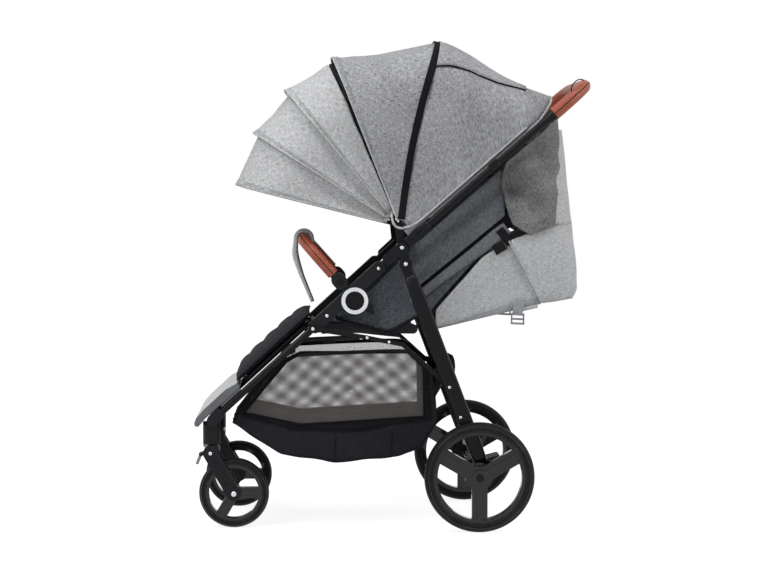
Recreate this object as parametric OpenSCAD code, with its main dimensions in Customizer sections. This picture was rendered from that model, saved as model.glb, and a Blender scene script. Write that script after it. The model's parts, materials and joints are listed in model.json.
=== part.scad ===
// Four-wheel folding pushchair with swivel front wheels, a fan canopy, a reclining seat and a basket.
// It faces -X, its left side is -Y and +Z is up. The origin is on the ground below its middle.

/* [Wheels] */
// Diameter of the rear tyres
rear_wheel_d = 254; // [240:2:270]
// Width of the rear tyres
rear_tyre_w = 36; // [30:1:40]
// Diameter of the front tyres
front_wheel_d = 163; // [150:1:168]
// Width of the front tyres
front_tyre_w = 34; // [28:1:36]
// Radial height of the rear tyres
rear_tyre_h = 20; // [16:1:22]
// Radial height of the front tyres
front_tyre_h = 15; // [12:1:17]
// Radial height of the rear rim ring
rear_ring_h = 10; // [7:1:12]
// Radial height of the front rim ring
front_ring_h = 8; // [6:1:10]
// Diameter of the wheel hubs
hub_d = 36; // [30:1:40]
// Number of spokes in each wheel
spokes = 3; // [3:1:5]
// Width of the rear wheels' spokes
rear_arm_w = 36; // [28:1:38]
// Width of the front wheels' spokes
front_arm_w = 26; // [20:1:30]
// Diameter of the axle pins in the hubs
axle_d = 10; // [8:0.5:12]
// Distance of the rear axle behind the middle
rear_axle_x = 197; // [185:1:210]
// Distance of the caster stems ahead of the middle
stem_front = 421; // [410:1:430]
// Distance of the front axles behind their stems
trail = 52; // [44:1:56]

/* [Frame] */
// Clear width of the seat between its fabric sides
seat_w = 358; // [340:2:380]
// Distance of the fold pivots behind the middle
fold_x = 20; // [15:1:25]
// Height of the fold pivots
fold_z = 653; // [645:1:660]
// Slope of the front legs
front_tilt = 42.5; // [41.5:0.1:43.5]
// Slope of the handle tubes
upper_tilt = 41.2; // [40.2:0.1:42.2]
// Length of the front legs below the fold pivots
front_leg_l = 590; // [584:1:596]
// In-plane depth of the front leg tubes
leg_h = 16; // [13:0.5:18]
// Width of the front leg tubes
leg_w = 22; // [18:1:24]
// In-plane depth of the handle tubes
tube_h = 16; // [13:0.5:18]
// Width of the handle tubes
tube_w = 18; // [15:0.5:20]
// In-plane depth of the rear legs
rear_leg_h = 26; // [22:1:30]
// Thickness of the rear legs
rear_leg_w = 14; // [11:0.5:16]
// Diameter of the pins in the frame's pivots
pin_d = 10; // [8:0.5:11]
// Thickness of the brace bars
brace_t = 6; // [4:0.5:7]
// Depth of the brace bars
brace_h = 10; // [9:1:14]
// Diameter of the cross tubes
cross_d = 16; // [13:0.5:18]

/* [Handle and bumper] */
// Distance of the handle bar's axis from the fold pivots
handle_l = 568; // [555:1:580]
// Diameter of the handle bar
handle_d = 22; // [18:1:24]
// Thickness of the leather on the handle and bumper
leather_t = 4; // [2.5:0.5:5]
// Radius of the handle bar's bends
handle_bend = 70; // [55:1:80]
// Length of the handle bar's straight ends above the collars
handle_arm = 32; // [24:1:44]
// Length of the bumper bar out from the leg housings
bumper_l = 148; // [140:1:156]
// Diameter of the bumper bar
bumper_d = 19; // [16:0.5:21]
// Radius of the bumper bar's bends
bumper_bend = 60; // [50:1:70]
// Slope of the bumper bar
bumper_tilt = 131.5; // [129:0.5:133]

/* [Seat] */
// Thickness of the seat cushion
seat_t = 30; // [22:1:34]
// Thickness of the backrest cushion
back_t = 38; // [28:1:40]
// Length of the backrest
back_l = 372; // [350:1:376]
// Slope of the backrest
back_tilt = 50; // [48:0.5:52]
// Thickness of the leg rest cushion
leg_rest_t = 32; // [24:1:36]
// Thickness of the stiffening boards
board_t = 8; // [6:0.5:9]
// Thickness of single cloth panels
cloth_t = 3; // [2:0.25:3.5]

/* [Canopy] */
// Reach of the canopy's front edge from its pivot
lip_r = 388; // [380:1:396]
// Reach of the canopy's main hoop from its pivot
hoop_r = 436; // [428:1:444]
// Reach of the canopy's rear edge from its pivot
tail_r = 463; // [455:1:470]
// Corner radius of the canopy's bows
bow_bend = 120; // [90:2:140]
// Diameter of the canopy's bows
bow_d = 6; // [5:0.5:7]
// Depth of the cloth's dips below straight lines between the bows
cloth_dip = 7; // [3:1:9]

/* [Basket] */
// Spacing of the gaps in the basket's net
net_pitch = 18; // [17:0.5:24]
// Width of the net's strands
net_strand = 3; // [2:0.5:5]

/* [Hidden] */
$fn = 48;
fit = 0.3;
run = 0.6;
seat_gap = 0.4;
waist = 0.05;

// Distances of the frame's layers from the middle plane, inside to outside
liner_in = seat_w / 2;
liner_out = liner_in + cloth_t;
housing_in = liner_out + seat_gap;
housing_t = 3;
leg_in = housing_in + housing_t;
leg_out = leg_in + leg_w;
housing_out = leg_out + 1;
hub_out = housing_out + 4;
cheek_out = leg_out + 6;
tube_in = cheek_out + run;
tube_out = tube_in + tube_w;
outer_cheek_in = tube_out + run;
outer_cheek_out = outer_cheek_in + 2.4;
rear_in = outer_cheek_out + run;
rear_out = rear_in + rear_leg_w;
hub_in = rear_out + 2;
rear_wheel_y = hub_in + 3 + rear_tyre_w / 2;
rear_hub_out = rear_wheel_y + rear_tyre_w / 2 + 2;
axle_end = rear_hub_out + run + 4;
front_brace_in = cheek_out;
rear_brace_in = front_brace_in + brace_t + 1;
boss_out = rear_in - seat_gap;
caster_y = leg_in - 8;

// Pivots in the side view
fold_p = [fold_x, fold_z];
function turn(p, a) = [p[0] * cos(a) - p[1] * sin(a), p[0] * sin(a) + p[1] * cos(a)];
function front_at(d, off = 0) = fold_p + turn([-d, off], front_tilt);
function upper_at(d, off = 0) = fold_p + turn([d, off], upper_tilt);
rear_leg_p = fold_p + [8, -37];
canopy_p = fold_p + [-5, 50];
hub_p = front_at(163, -18);
hub_ring_r = 31;
hub_cap_r = 22;
bracket_l = 40;
collar_l = 26;
handle_start = handle_l - handle_bend - handle_arm;
upper_tube_l = handle_start - collar_l;
knee_along = 278;
knee_p = front_at(knee_along);
bumper_p = front_at(159, leg_h / 2 + 8);
bumper_axis = turn([1, 0], bumper_tilt);
bumper_y = leg_in + leg_w / 2;
peg_d = 12;
peg_l = 24;
rear_axle_p = [rear_axle_x, rear_wheel_d / 2];
rear_foot_p = rear_axle_p + [8, 23];
brace_mid_p = knee_p + [125, -20];
brace_end_p = rear_leg_p + [101, -284];
brake_r = 26;
brake_a = 90;
brake_pin_d = 7;
brake_pin_p = rear_axle_p + turn([brake_r, 0], brake_a);
stem_p = [-stem_front, front_wheel_d / 2 + 108];
front_axle_p = [trail - stem_front, front_wheel_d / 2];
lock_p = stem_p + [-25, -18];
back_p = [48, 462];
seat_front_p = [-160, 470];
seat_tilt = -6.5;
seat_l = 176;

// Canopy: directions of the cloth's ridges about its pivot, front to back, and their reach
lip_a = 166;
bow_a = 130;
hoop_a = 77.5;
tail_a = upper_tilt;
tail_drop = turn(canopy_p - fold_p, -upper_tilt)[1] - tube_h / 2 - 2;
ridge_a = [lip_a, 147.5, bow_a, 112, hoop_a];
bow_r = lip_r + (hoop_r - lip_r) * 0.42;
ridge_r = [lip_r, lip_r + (bow_r - lip_r) * 0.45, bow_r, bow_r + (hoop_r - bow_r) * 0.35, hoop_r];
canopy_y = cheek_out - 1;
bow_hub_d = 18;
bow_flat_r = 60;
bow_pin_d = 8;

// Flat shape in the side view, drawn from one distance out on the left to another
module side(y0, y1) translate([0, -y0, 0]) rotate([90, 0, 0]) linear_extrude(y1 - y0) children();
// Flat shape in the side view, drawn across the middle plane
module across(half) translate([0, half, 0]) rotate([90, 0, 0]) linear_extrude(2 * half) children();
// Left-hand shape and its mirror image
module both() {
    children();
    mirror([0, 1, 0]) children();
}
module right_hand() mirror([0, 1, 0]) children();
// Round-ended bar between two points
module bar(p, q, w) {
    d = q - p;
    translate(p) rotate(atan2(d[1], d[0])) translate([0, waist - w / 2]) square([norm(d), w - 2 * waist]);
    translate(p) circle(d = w);
    translate(q) circle(d = w);
}
// Round pin across the side view
module pin(p, d, y0, y1) translate([p[0], -y0, p[1]]) rotate([90, 0, 0]) cylinder(d = d, h = y1 - y0);
module round_rect(w, h, r) {
    translate([-w / 2 + r, -h / 2]) square([w - 2 * r, h]);
    translate([-w / 2, -h / 2 + r]) square([w, h - 2 * r]);
    for (x = [-1, 1], y = [-1, 1]) translate([x * (w / 2 - r), y * (h / 2 - r)]) circle(r);
}
// Tube of rounded section between two points of the side view
module tube(p, q, depth, y0, y1) {
    d = q - p;
    corner = min(depth, y1 - y0) * 0.42;
    translate([p[0], -(y0 + y1) / 2, p[1]]) rotate([0, 90 - atan2(d[1], d[0]), 0])
        linear_extrude(norm(d)) round_rect(depth, y1 - y0, corner);
}
// Round rod between two points in space
module rod(p, q, d) {
    v = q - p;
    translate(p) rotate([0, acos(v[2] / norm(v)), atan2(v[1], v[0])]) cylinder(d = d, h = norm(v));
}
// Bow in a plane through the cross axis: two arms, two round corners and a cross piece
module bow(p, a, reach, half, bend, d, start) translate([p[0], 0, p[1]]) rotate([0, 90 - a, 0]) {
    for (s = [-1, 1]) {
        translate([0, s * half, start]) cylinder(d = d, h = reach - bend - start);
        translate([0, s * (half - bend), reach - bend]) rotate([0, -90, 0]) rotate([0, 0, s > 0 ? 0 : -90])
            rotate_extrude(angle = 90) translate([bend, 0]) circle(d = d);
    }
    translate([0, half - bend, reach]) rotate([90, 0, 0]) cylinder(d = d, h = 2 * (half - bend));
}

// Closed skin between two grids of points
module skin(top, low) {
    n = len(top);
    m = len(top[0]);
    grid = [for (layer = [top, low], row = layer, q = row) q];
    function id(k, i, j) = (k * n + i) * m + j;
    function quad(a, b, c, d) = [[a, b, c], [a, c, d]];
    faces = [
        for (i = [0:n - 2], j = [0:m - 2])
            each quad(id(0, i, j), id(0, i, j + 1), id(0, i + 1, j + 1), id(0, i + 1, j)),
        for (i = [0:n - 2], j = [0:m - 2])
            each quad(id(1, i, j), id(1, i + 1, j), id(1, i + 1, j + 1), id(1, i, j + 1)),
        for (i = [0:n - 2])
            each quad(id(0, i, 0), id(0, i + 1, 0), id(1, i + 1, 0), id(1, i, 0)),
        for (i = [0:n - 2])
            each quad(id(0, i, m - 1), id(1, i, m - 1), id(1, i + 1, m - 1), id(0, i + 1, m - 1)),
        for (j = [0:m - 2])
            each quad(id(0, 0, j), id(1, 0, j), id(1, 0, j + 1), id(0, 0, j + 1)),
        for (j = [0:m - 2])
            each quad(id(0, n - 1, j), id(0, n - 1, j + 1), id(1, n - 1, j + 1), id(1, n - 1, j))
    ];
    polyhedron(grid, faces, convexity = 6);
}
// Cushion on a sloping board: crowned top, drawn-in sides and stitched cross channels
function swell(u, v) = pow(1 - pow(abs(u), 6), 0.5) * pow(1 - pow(abs(v), 6), 0.5);
function channel(u, count) = 1 - 0.16 * pow(abs(cos(90 * count * (u + 1))), 12);
module cushion(p, a, length, half, thick, count) {
    rows = 18;
    cols = 12;
    edge = thick * 0.3;
    function spot(u, v, n) = let(q = p + turn([(u + 1) / 2 * length, n], a)) [q[0], v * half, q[1]];
    u_at = [for (i = [0:rows]) 2 * i / rows - 1];
    v_at = [for (j = [0:cols]) 2 * j / cols - 1];
    function rise(u, v) = edge + (thick - edge) * swell(u, v) * channel(u, count);
    top = [for (u = u_at) [for (v = v_at) spot(u, v, rise(u, v))]];
    low = [for (u = u_at) [for (v = v_at) spot(u, v, edge * 0.4 * (1 - swell(u, v)))]];
    skin(top, low);
}

module wheel_tyre(d, w, h) rotate([90, 0, 0]) rotate_extrude() intersection() {
    translate([d / 2 - h, -w / 2]) square([h, w]);
    translate([d / 2 - w * 0.62, 0]) circle(w * 0.62);
}
// Rim with broad ribbed spokes that run together in round webs at the hub
module wheel_rim(d, ring_h, w, arm_w, hub_a, hub_b, turned) {
    outer = d / 2 - 0.15;
    inner = d / 2 - ring_h;
    reach = inner + ring_h * 0.3;
    part = 180 / spokes;
    web_r = arm_w * 0.8;
    web_d = (arm_w / 2 + web_r) / sin(part);
    web_p = web_d * [cos(part), sin(part)];
    web_foot = web_d * cos(part);
    rib_w = arm_w * 0.42;
    difference() {
        union() {
            rotate([90, 0, 0]) rotate_extrude() translate([inner, -w * 0.4]) square([outer - inner, w * 0.8]);
            side(hub_a, hub_b) circle(d = hub_d);
            side(-w * 0.28, w * 0.28) for (k = [0:spokes - 1]) rotate(turned + k * 360 / spokes) {
                translate([0, -arm_w / 2]) square([reach, arm_w]);
                difference() {
                    polygon([[0, 0], [web_foot, arm_w / 2 - waist], web_p,
                        turn([web_foot, waist - arm_w / 2], 2 * part)]);
                    translate(web_p) circle(web_r + fit);
                }
            }
            side(-w * 0.38, w * 0.38) for (k = [0:spokes - 1]) rotate(turned + k * 360 / spokes)
                translate([0, -rib_w / 2]) square([reach, rib_w]);
        }
        side(hub_a - 1, hub_b + 1) circle(d = axle_d + 2 * fit);
    }
}
module at_wheel(p, y) translate([p[0], -y, p[1]]) children();

// Round peg along the bumper bar's end
module bumper_peg(d, a, b) {
    p = bumper_p + a * bumper_axis;
    q = bumper_p + b * bumper_axis;
    rod([p[0], -bumper_y, p[1]], [q[0], -bumper_y, q[1]], d);
}

// Front frame
module front_leg() color("#1c1d1f") tube(front_at(front_leg_l), front_at(-4), leg_h, leg_in, leg_out);
module front_leg_left() front_leg();
module front_leg_right() right_hand() front_leg();
module leg_housings() color("#222326") both() difference() {
    union() {
        side(housing_in, housing_out) {
            bar(front_at(bracket_l + 30), front_at(knee_along - 6), leg_h + 14);
            translate(hub_p) circle(hub_ring_r + 3);
        }
        pin(knee_p, pin_d, housing_out, front_brace_in + brace_t + 0.8);
        bumper_peg(peg_d, -10, peg_l);
    }
    tube(front_at(front_leg_l), front_at(-4), leg_h, leg_in, leg_out);
}
module hub_rings() color("white") both() side(housing_out, hub_out) translate(hub_p) difference() {
    circle(hub_ring_r);
    circle(hub_cap_r);
}
module hub_caps() color("#141416") both() pin(hub_p, 2 * (hub_cap_r - fit), housing_out, hub_out - 1);
module hinge_brackets() color("#1a1b1d") both() {
    side(leg_out, cheek_out) {
        bar(fold_p, front_at(bracket_l), 28);
        bar(fold_p, rear_leg_p, 26);
        bar(fold_p, canopy_p, 18);
    }
    side(leg_out, outer_cheek_out) bar(front_at(bracket_l - 6), front_at(bracket_l + 2), 15);
    side(outer_cheek_in, outer_cheek_out) {
        bar(fold_p, front_at(bracket_l), 24);
        bar(fold_p, rear_leg_p, 22);
    }
    pin(fold_p, pin_d, leg_out, outer_cheek_out);
    pin(rear_leg_p, pin_d, leg_out, rear_out + run + 2);
    pin(rear_leg_p, pin_d + 7, rear_out + run, rear_out + run + 2);
    pin(canopy_p, bow_pin_d, canopy_y - 22, cheek_out);
}
socket_top = 58;
socket_low = 6;
socket_d = 40;
sleeve_l = 20;
stem_d = 14;
stem_up = 48;
// Upright cylinder about a caster's stem
module stem(d, z0, z1) translate([stem_p[0], -caster_y, stem_p[1] + z0]) cylinder(d = d, h = z1 - z0);
module caster_sockets() color("#202124") both() difference() {
    union() {
        stem(socket_d, socket_low, socket_top);
        side(housing_in, housing_out + 2)
            bar(front_at(front_leg_l + 4 - sleeve_l), front_at(front_leg_l + 4), leg_h + 10);
    }
    tube(front_at(front_leg_l), front_at(0), leg_h, leg_in, leg_out);
    stem(stem_d + 2 * fit, socket_low - 1, stem_up + 2);
}
module front_crossbar() color("#1c1d1f") difference() {
    across(caster_y) translate(stem_p + [0, (socket_low + socket_top) / 2]) circle(d = cross_d);
    both() stem(socket_d, 0, socket_top);
}
foot_a = 493;
foot_b = 632;
foot_off = leg_h / 2 + 7;
module footrest() color("#8b8d90") {
    across(housing_out) polygon([
        front_at(foot_a, foot_off), front_at(foot_a, foot_off + 11), front_at(foot_a + 30, foot_off + 18),
        front_at(foot_b - 40, foot_off + 18), front_at(foot_b - 14, foot_off + 15),
        front_at(foot_b - 3, foot_off + 9), front_at(foot_b, foot_off + 3),
        front_at(foot_b - 5, foot_off - 3), front_at(foot_b - 30, foot_off)]);
    rib_end = front_leg_l - sleeve_l - 14;
    both() side(leg_in + 2, leg_out - 2) polygon([
        front_at(foot_a + 4, leg_h / 2 + fit), front_at(foot_a + 4, foot_off + 1),
        front_at(rib_end, foot_off + 1), front_at(rib_end, leg_h / 2 + fit)]);
}

// Seat
hanger_out = liner_in - 3;
hanger_in = hanger_out - 6;
board_half = hanger_in - 5;
module seat_base() color("#26282b") {
    across(housing_in) translate(knee_p) circle(d = cross_d);
    across(board_half) translate(seat_front_p) rotate(seat_tilt)
        translate([0, -board_t]) square([seat_l + 4, board_t]);
    both() {
        side(hanger_in, hanger_out) {
            bar(hub_p, back_p, 22);
            bar(knee_p, back_p, 22);
        }
        side(board_half - 1, hanger_in) translate(seat_front_p) rotate(seat_tilt)
            translate([20, -board_t]) square([seat_l - 40, board_t]);
        pin(hub_p, 16, hanger_in, housing_in);
        pin(back_p, pin_d - 2, board_half - 12, hanger_in);
    }
}
module seat_pad() color("#3b4048")
    cushion(seat_front_p + [0, fit], seat_tilt, seat_l, board_half - 2, seat_t, 3);
liner_low_p = [-7, 458];
module seat_sides() color("#4a4f57") both() difference() {
    side(liner_in, liner_out) polygon([
        front_at(205, -22), [-128, 486], liner_low_p, [52, 488], [95, 500], [262, 696], [258, 776],
        upper_at(300, -16), upper_at(40, -16), front_at(0, -18), front_at(110, -24)]);
    pin(hub_p, 18, liner_in - 1, liner_out + 1);
}
buckle_p = seat_front_p + turn([62, seat_t + seat_gap], seat_tilt);
buckle_l = 44;
buckle_t = 14;
buckle_button_d = 18;
// Round shape square to the seat in the middle of the buckle
module on_buckle(d, z0, z1) translate([buckle_p[0], 0, buckle_p[1]]) rotate([0, -seat_tilt, 0])
    translate([buckle_l / 2, 0, z0]) cylinder(d = d, h = z1 - z0);
module harness_buckle() color("#17181a") difference() {
    across(21) translate(buckle_p) rotate(seat_tilt) square([buckle_l, buckle_t]);
    on_buckle(buckle_button_d + 2 * fit, buckle_t - 5, buckle_t + 1);
}
module buckle_button() color("#b03a2e") on_buckle(buckle_button_d, buckle_t - 1.7, buckle_t + 1.7);
module backrest_board() color("#26282b") difference() {
    union() {
        across(board_half) translate(back_p) rotate(back_tilt)
            translate([16, -board_t]) square([back_l - 16, board_t]);
        both() side(board_half - 10, board_half) {
            translate(back_p) circle(d = pin_d + 10);
            translate(back_p) rotate(back_tilt) translate([0, -board_t]) square([30, board_t]);
        }
    }
    both() pin(back_p, pin_d - 2 + 2 * fit, board_half - 13, board_half + 1);
}
module backrest_pad() color("#565b63")
    cushion(back_p + turn([22, fit], back_tilt), back_tilt, back_l - 22, board_half - 2, back_t, 4);
leg_rest_low = 489;
leg_rest_off = cross_d / 2 + 12;
leg_rest_l = leg_rest_low - knee_along + 14;
module leg_rest() color("#2f3236") {
    cushion(front_at(leg_rest_low, leg_rest_off), front_tilt, leg_rest_l, board_half - 4, leg_rest_t, 3);
    difference() {
        union() {
            across(board_half - 12) translate(front_at(leg_rest_low - 6, leg_rest_off)) rotate(front_tilt)
                translate([0, -board_t]) square([leg_rest_l - 12, board_t + 5]);
            both() side(100, 124) {
                translate(knee_p) circle(d = cross_d + 10);
                bar(knee_p, front_at(knee_along + 6, leg_rest_off), 14);
            }
        }
        across(leg_in) translate(knee_p) circle(d = cross_d + 1);
    }
}
strap_a = [88, 500];
strap_b = [270, 703];
strap_buckle = 0.84;
module recline_strap() color("#2a2c2f") both() {
    side(liner_out + 0.2, liner_out + 2.2) bar(strap_a, strap_b, 20);
    side(liner_out + 2.2, liner_out + 10) translate(strap_a + strap_buckle * (strap_b - strap_a))
        rotate(48) square([40, 24], center = true);
}

// Basket
basket_half = leg_in - seat_gap;
basket_p = [[-372, 246], [-262, 172], [-136, 152], [18, 166], [70, 186], [104, 250], [92, 372], [44, 416],
    front_at(342, 0), front_at(356, -6)];
window_p = [[-326, 271], [-214, 241], [74, 258], [70, 368], [34, 403], [-202, 403], [-234, 380]];
// Outline moved inwards by a distance
function unit(v) = v / norm(v);
function inset(p, d) = let(n = len(p)) [for (i = [0:n - 1])
    let(e = unit(p[i] - p[(i + n - 1) % n]), f = unit(p[(i + 1) % n] - p[i]))
    p[i] + d * ([-e[1], e[0]] + [-f[1], f[0]]) / (1 + e * f)];
module basket_tub() color("#232427") difference() {
    across(basket_half) polygon(basket_p);
    across(basket_half - cloth_t) polygon(inset(basket_p, cloth_t));
    across(basket_half - 14) polygon([[-300, 300], [60, 300], [60, 520], [-300, 520]]);
    across(basket_half + 1) polygon(window_p);
}
// Least distance of a point inside an outline from its edges
function inside(q, p) = let(n = len(p)) min([for (i = [0:n - 1])
    let(e = unit(p[(i + 1) % n] - p[i]), r = q - p[i]) e[0] * r[1] - e[1] * r[0]]);
net_out = basket_half - cloth_t - seat_gap;
module basket_net() color("#b7b0a4") both() side(net_out - 1.2, net_out)
    difference() {
        polygon(inset(window_p, -7));
        for (x = [-314:net_pitch:80], z = [250:net_pitch:400])
            if (inside([x, z], window_p) > net_pitch * 0.55)
                translate([x, z]) square(net_pitch - net_strand, center = true);
    }

// Handle frame
module upper_tube() color("#1b1c20") difference() {
    union() {
        pin(fold_p, 28, tube_in, tube_out);
        tube(fold_p, upper_at(upper_tube_l), tube_h, tube_in, tube_out);
    }
    pin(fold_p, pin_d + 2 * fit, tube_in - 1, tube_out + 1);
}
module upper_tube_left() upper_tube();
module upper_tube_right() right_hand() upper_tube();
handle_y = (tube_in + tube_out) / 2;
module handle_bar() color("#1b1c20")
    bow(fold_p, upper_tilt, handle_l, handle_y, handle_bend, handle_d, handle_start);
grip_d = handle_d + 2 * leather_t;
module handle_grip() color("#a5502f") difference() {
    bow(fold_p, upper_tilt, handle_l, handle_y, handle_bend, grip_d, handle_start + 1);
    bow(fold_p, upper_tilt, handle_l, handle_y, handle_bend, handle_d + 0.4, handle_start);
}
module handle_collars() color("#141517") both()
    translate([fold_x, -handle_y, fold_z]) rotate([0, 90 - upper_tilt, 0])
    translate([0, 0, upper_tube_l]) cylinder(d1 = tube_w + 2, d2 = grip_d, h = collar_l);
latch_a = 38;
latch_l = 30;
module fold_latch() color("#3a3c40") side(tube_out + seat_gap, tube_out + 5.4) difference() {
    bar(upper_at(latch_a), upper_at(latch_a + latch_l), 13);
    bar(upper_at(latch_a + 8), upper_at(latch_a + latch_l - 8), 4);
}
module fold_latch_left() fold_latch();
module fold_latch_right() right_hand() fold_latch();

// Canopy
bow_half = [canopy_y - 16, canopy_y - 11.5, canopy_y - 7];
module canopy_arm(a, reach, half) color("#1a1a1c") difference() {
    union() {
        bow(canopy_p, a, reach - cloth_t - seat_gap - bow_d / 2, half, bow_bend, bow_d, bow_hub_d / 2 - 1);
        both() pin(canopy_p, bow_hub_d, half - 2, half + 2);
    }
    both() pin(canopy_p, bow_pin_d + 2 * fit, half - 3, half + 3);
    both() side(half + 2, half + bow_d) translate(canopy_p) circle(bow_flat_r);
    both() side(half - bow_d, half - 2) translate(canopy_p) circle(bow_flat_r);
}
module canopy_lip() canopy_arm(lip_a, lip_r, bow_half[0]);
module canopy_bow() canopy_arm(bow_a, bow_r, bow_half[1]);
module canopy_hoop() canopy_arm(hoop_a, hoop_r, bow_half[2]);
// Cloth across the canopy at one direction: straight sides, round corners and a crowned top.
// The drop turns its sides down round the pivot, so that its edge can follow the handle tube
function arch(a, reach, half, start, drop = 0) = let(
    bend = bow_bend,
    flat = half - bend,
    rows = concat(
        [for (k = [0:3]) [-half, start + (reach - bend - start) * k / 4, 1]],
        [for (k = [0:6]) [-flat - bend * cos(15 * k), reach - bend + bend * sin(15 * k), 1 - k / 8]],
        [for (k = [1:3]) [flat * (k / 2 - 1), reach, 1 / 4]],
        [for (k = [0:6]) [flat + bend * sin(15 * k), reach - bend + bend * cos(15 * k), 1 / 4 + k / 8]],
        [for (k = [3:-1:0]) [half, start + (reach - bend - start) * k / 4, 1]]))
    [for (q = rows) let(b = a - asin(drop * q[2] / q[1]))
        [canopy_p[0] + q[1] * cos(b), q[0], canopy_p[1] + q[1] * sin(b)]];
cloth_start = 34;
fan_steps = 4;
// How far a straight line between two bows lies inside the round between them
function chord_dip(a, b, r) = r * (1 - cos((a - b) / 2));
fan = [for (k = [0:len(ridge_a) - 2], i = [0:fan_steps - 1])
    let(t = i / fan_steps, dip = cloth_dip + chord_dip(ridge_a[k], ridge_a[k + 1], ridge_r[k]))
    [ridge_a[k] + (ridge_a[k + 1] - ridge_a[k]) * t,
     ridge_r[k] + (ridge_r[k + 1] - ridge_r[k]) * t - dip * sin(180 * t)]];
fan_all = concat(fan, [[hoop_a + 0.3, hoop_r]]);
module canopy_cloth() color("#b9bbbd") skin(
    [for (f = fan_all) arch(f[0], f[1], canopy_y, cloth_start)],
    [for (f = fan_all) arch(f[0], f[1] - cloth_t, canopy_y - cloth_t, cloth_start)]);
tail = [for (i = [0:5]) let(t = i / 5, dip = cloth_dip / 2 + chord_dip(hoop_a, tail_a, hoop_r))
    [hoop_a - 0.3 + (tail_a - hoop_a) * t,
     hoop_r + (tail_r - hoop_r) * t - dip * sin(180 * t),
     tail_drop * t]];
module canopy_rear() color("#a9abae") skin(
    [for (f = tail) arch(f[0], f[1], canopy_y, cloth_start, f[2])],
    [for (f = tail) arch(f[0], f[1] - cloth_t, canopy_y - cloth_t, cloth_start, f[2])]);

// Rear curtain of the canopy: two hanging sides and a back, with upright folds
skirt_front = 262;
skirt_back = 384;
skirt_low = [[262, 762], [318, 684], [384, 712]];
skirt_half = liner_out + 12;
function skirt_floor(x) = lookup(x, skirt_low);
function skirt_roof(x) = fold_z + (x - fold_x) * tan(upper_tilt) - tube_h;
skirt_path = concat(
    [for (k = [0:9]) [skirt_front + (skirt_back - skirt_front) * k / 10, -1]],
    [for (k = [0:12]) [skirt_back, k / 6 - 1]],
    [for (k = [9:-1:0]) [skirt_front + (skirt_back - skirt_front) * k / 10, 1]]);
function skirt_row(t, inward) = [for (k = [0:len(skirt_path) - 1])
    let(q = skirt_path[k], x = q[0], on_back = abs(q[1]) < 1,
        wave = 3 * t * sin(k * 97), flare = (tube_in - run - skirt_half) * pow(1 - t, 3),
        half = skirt_half + flare + wave - inward)
    [on_back || x == skirt_back ? x - inward + (on_back ? wave : 0) : x, q[1] * half,
     skirt_roof(x) + (skirt_floor(x) - skirt_roof(x)) * t]];
skirt_steps = [0, 0.12, 0.3, 0.55, 0.8, 1];
module canopy_skirt() color("#8f9194") skin(
    [for (t = skirt_steps) skirt_row(t, 0)], [for (t = skirt_steps) skirt_row(t, cloth_t)]);

// Cloth sling that the backrest lowers into: sides, floor and tall rear wall
sling_in = liner_out + 2.6;
strap_side = turn([0, -4], atan2(strap_b[1] - strap_a[1], strap_b[0] - strap_a[0]));
function on_strap(t) = strap_a + t * (strap_b - strap_a) + strap_side;
sling_p = [[104, 464], [347, 522], [440, 531], [412, 706], [320, 664], [262, 660],
    on_strap(0.65), on_strap(0.05)];
sling_top = [398, 925];
sling_wall = [sling_p[2], sling_top, sling_top - [cloth_t, 0], sling_p[2] - [cloth_t, 0]];
module sling_solid() {
    across(sling_in + cloth_t) polygon(sling_p);
    across(sling_in + cloth_t) polygon(sling_wall);
}
module recline_sling() color("#d5d6d8") difference() {
    sling_solid();
    across(sling_in) polygon([
        sling_p[0] + [-50, cloth_t], sling_p[0] + [0, cloth_t], sling_p[1] + [0, cloth_t],
        sling_p[2] + [-cloth_t - 1, cloth_t], sling_p[3] + [-cloth_t - 2, 14], [250, 800],
        sling_p[0] + [-50, 100]]);
}

// Rear legs
rivet_d = 8;
skim = 0.2;
rivet_h = 1.4;
module rear_leg() color("#1a1b1d") difference() {
    union() {
        pin(rear_leg_p, 30, rear_in + skim, rear_out - skim);
        tube(rear_leg_p, rear_foot_p, rear_leg_h, rear_in, rear_out);
        side(rear_in + skim, rear_out - skim) bar(rear_foot_p, rear_axle_p, 40);
        pin(brace_end_p, pin_d - 2, rear_brace_in - 0.6, rear_in + 2);
        for (p = [brace_end_p, brace_end_p + [26, -70]]) pin(p, rivet_d, rear_in + 4, rear_out + rivet_h);
    }
    pin(rear_leg_p, pin_d + 2 * fit, rear_in - 1, rear_out + 1);
    pin(rear_axle_p, axle_d + 0.2, rear_in - 1, rear_out + 1);
    pin(brake_pin_p, brake_pin_d + 2 * fit, rear_in - 1, rear_out + 1);
}
module rear_leg_left() rear_leg();
module rear_leg_right() right_hand() rear_leg();
module rear_axle() color("#2a2b2e") translate([rear_axle_p[0], 0, rear_axle_p[1]]) rotate([90, 0, 0]) {
    cylinder(d = cross_d, h = 2 * rear_in, center = true);
    cylinder(d = axle_d, h = 2 * axle_end, center = true);
    for (s = [-1, 1]) translate([0, 0, s * (axle_end - 2)]) cylinder(d = 18, h = 4, center = true);
}
pedal_half = 38;
module brake_pedal() color("#2d2f33") difference() {
    across(pedal_half) {
        translate(rear_axle_p) circle(d = cross_d + 14);
        bar(rear_axle_p, rear_axle_p + [62, 16], 12);
    }
    across(pedal_half + 1) translate(rear_axle_p) circle(d = cross_d + 2 * run);
}
pin_travel = 9;
module brake_pin() color("#b8babd") {
    pin(brake_pin_p, brake_pin_d, rear_in - 14, rear_out + 1.2);
    pin(brake_pin_p, brake_pin_d + 8, rear_in - 16, rear_in - pin_travel - 1);
}
module brake_pin_left() brake_pin();
module brake_pin_right() right_hand() brake_pin();
module rear_tyre() color("#1b1b1c")
    at_wheel(rear_axle_p, rear_wheel_y) wheel_tyre(rear_wheel_d, rear_tyre_w, rear_tyre_h);
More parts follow.
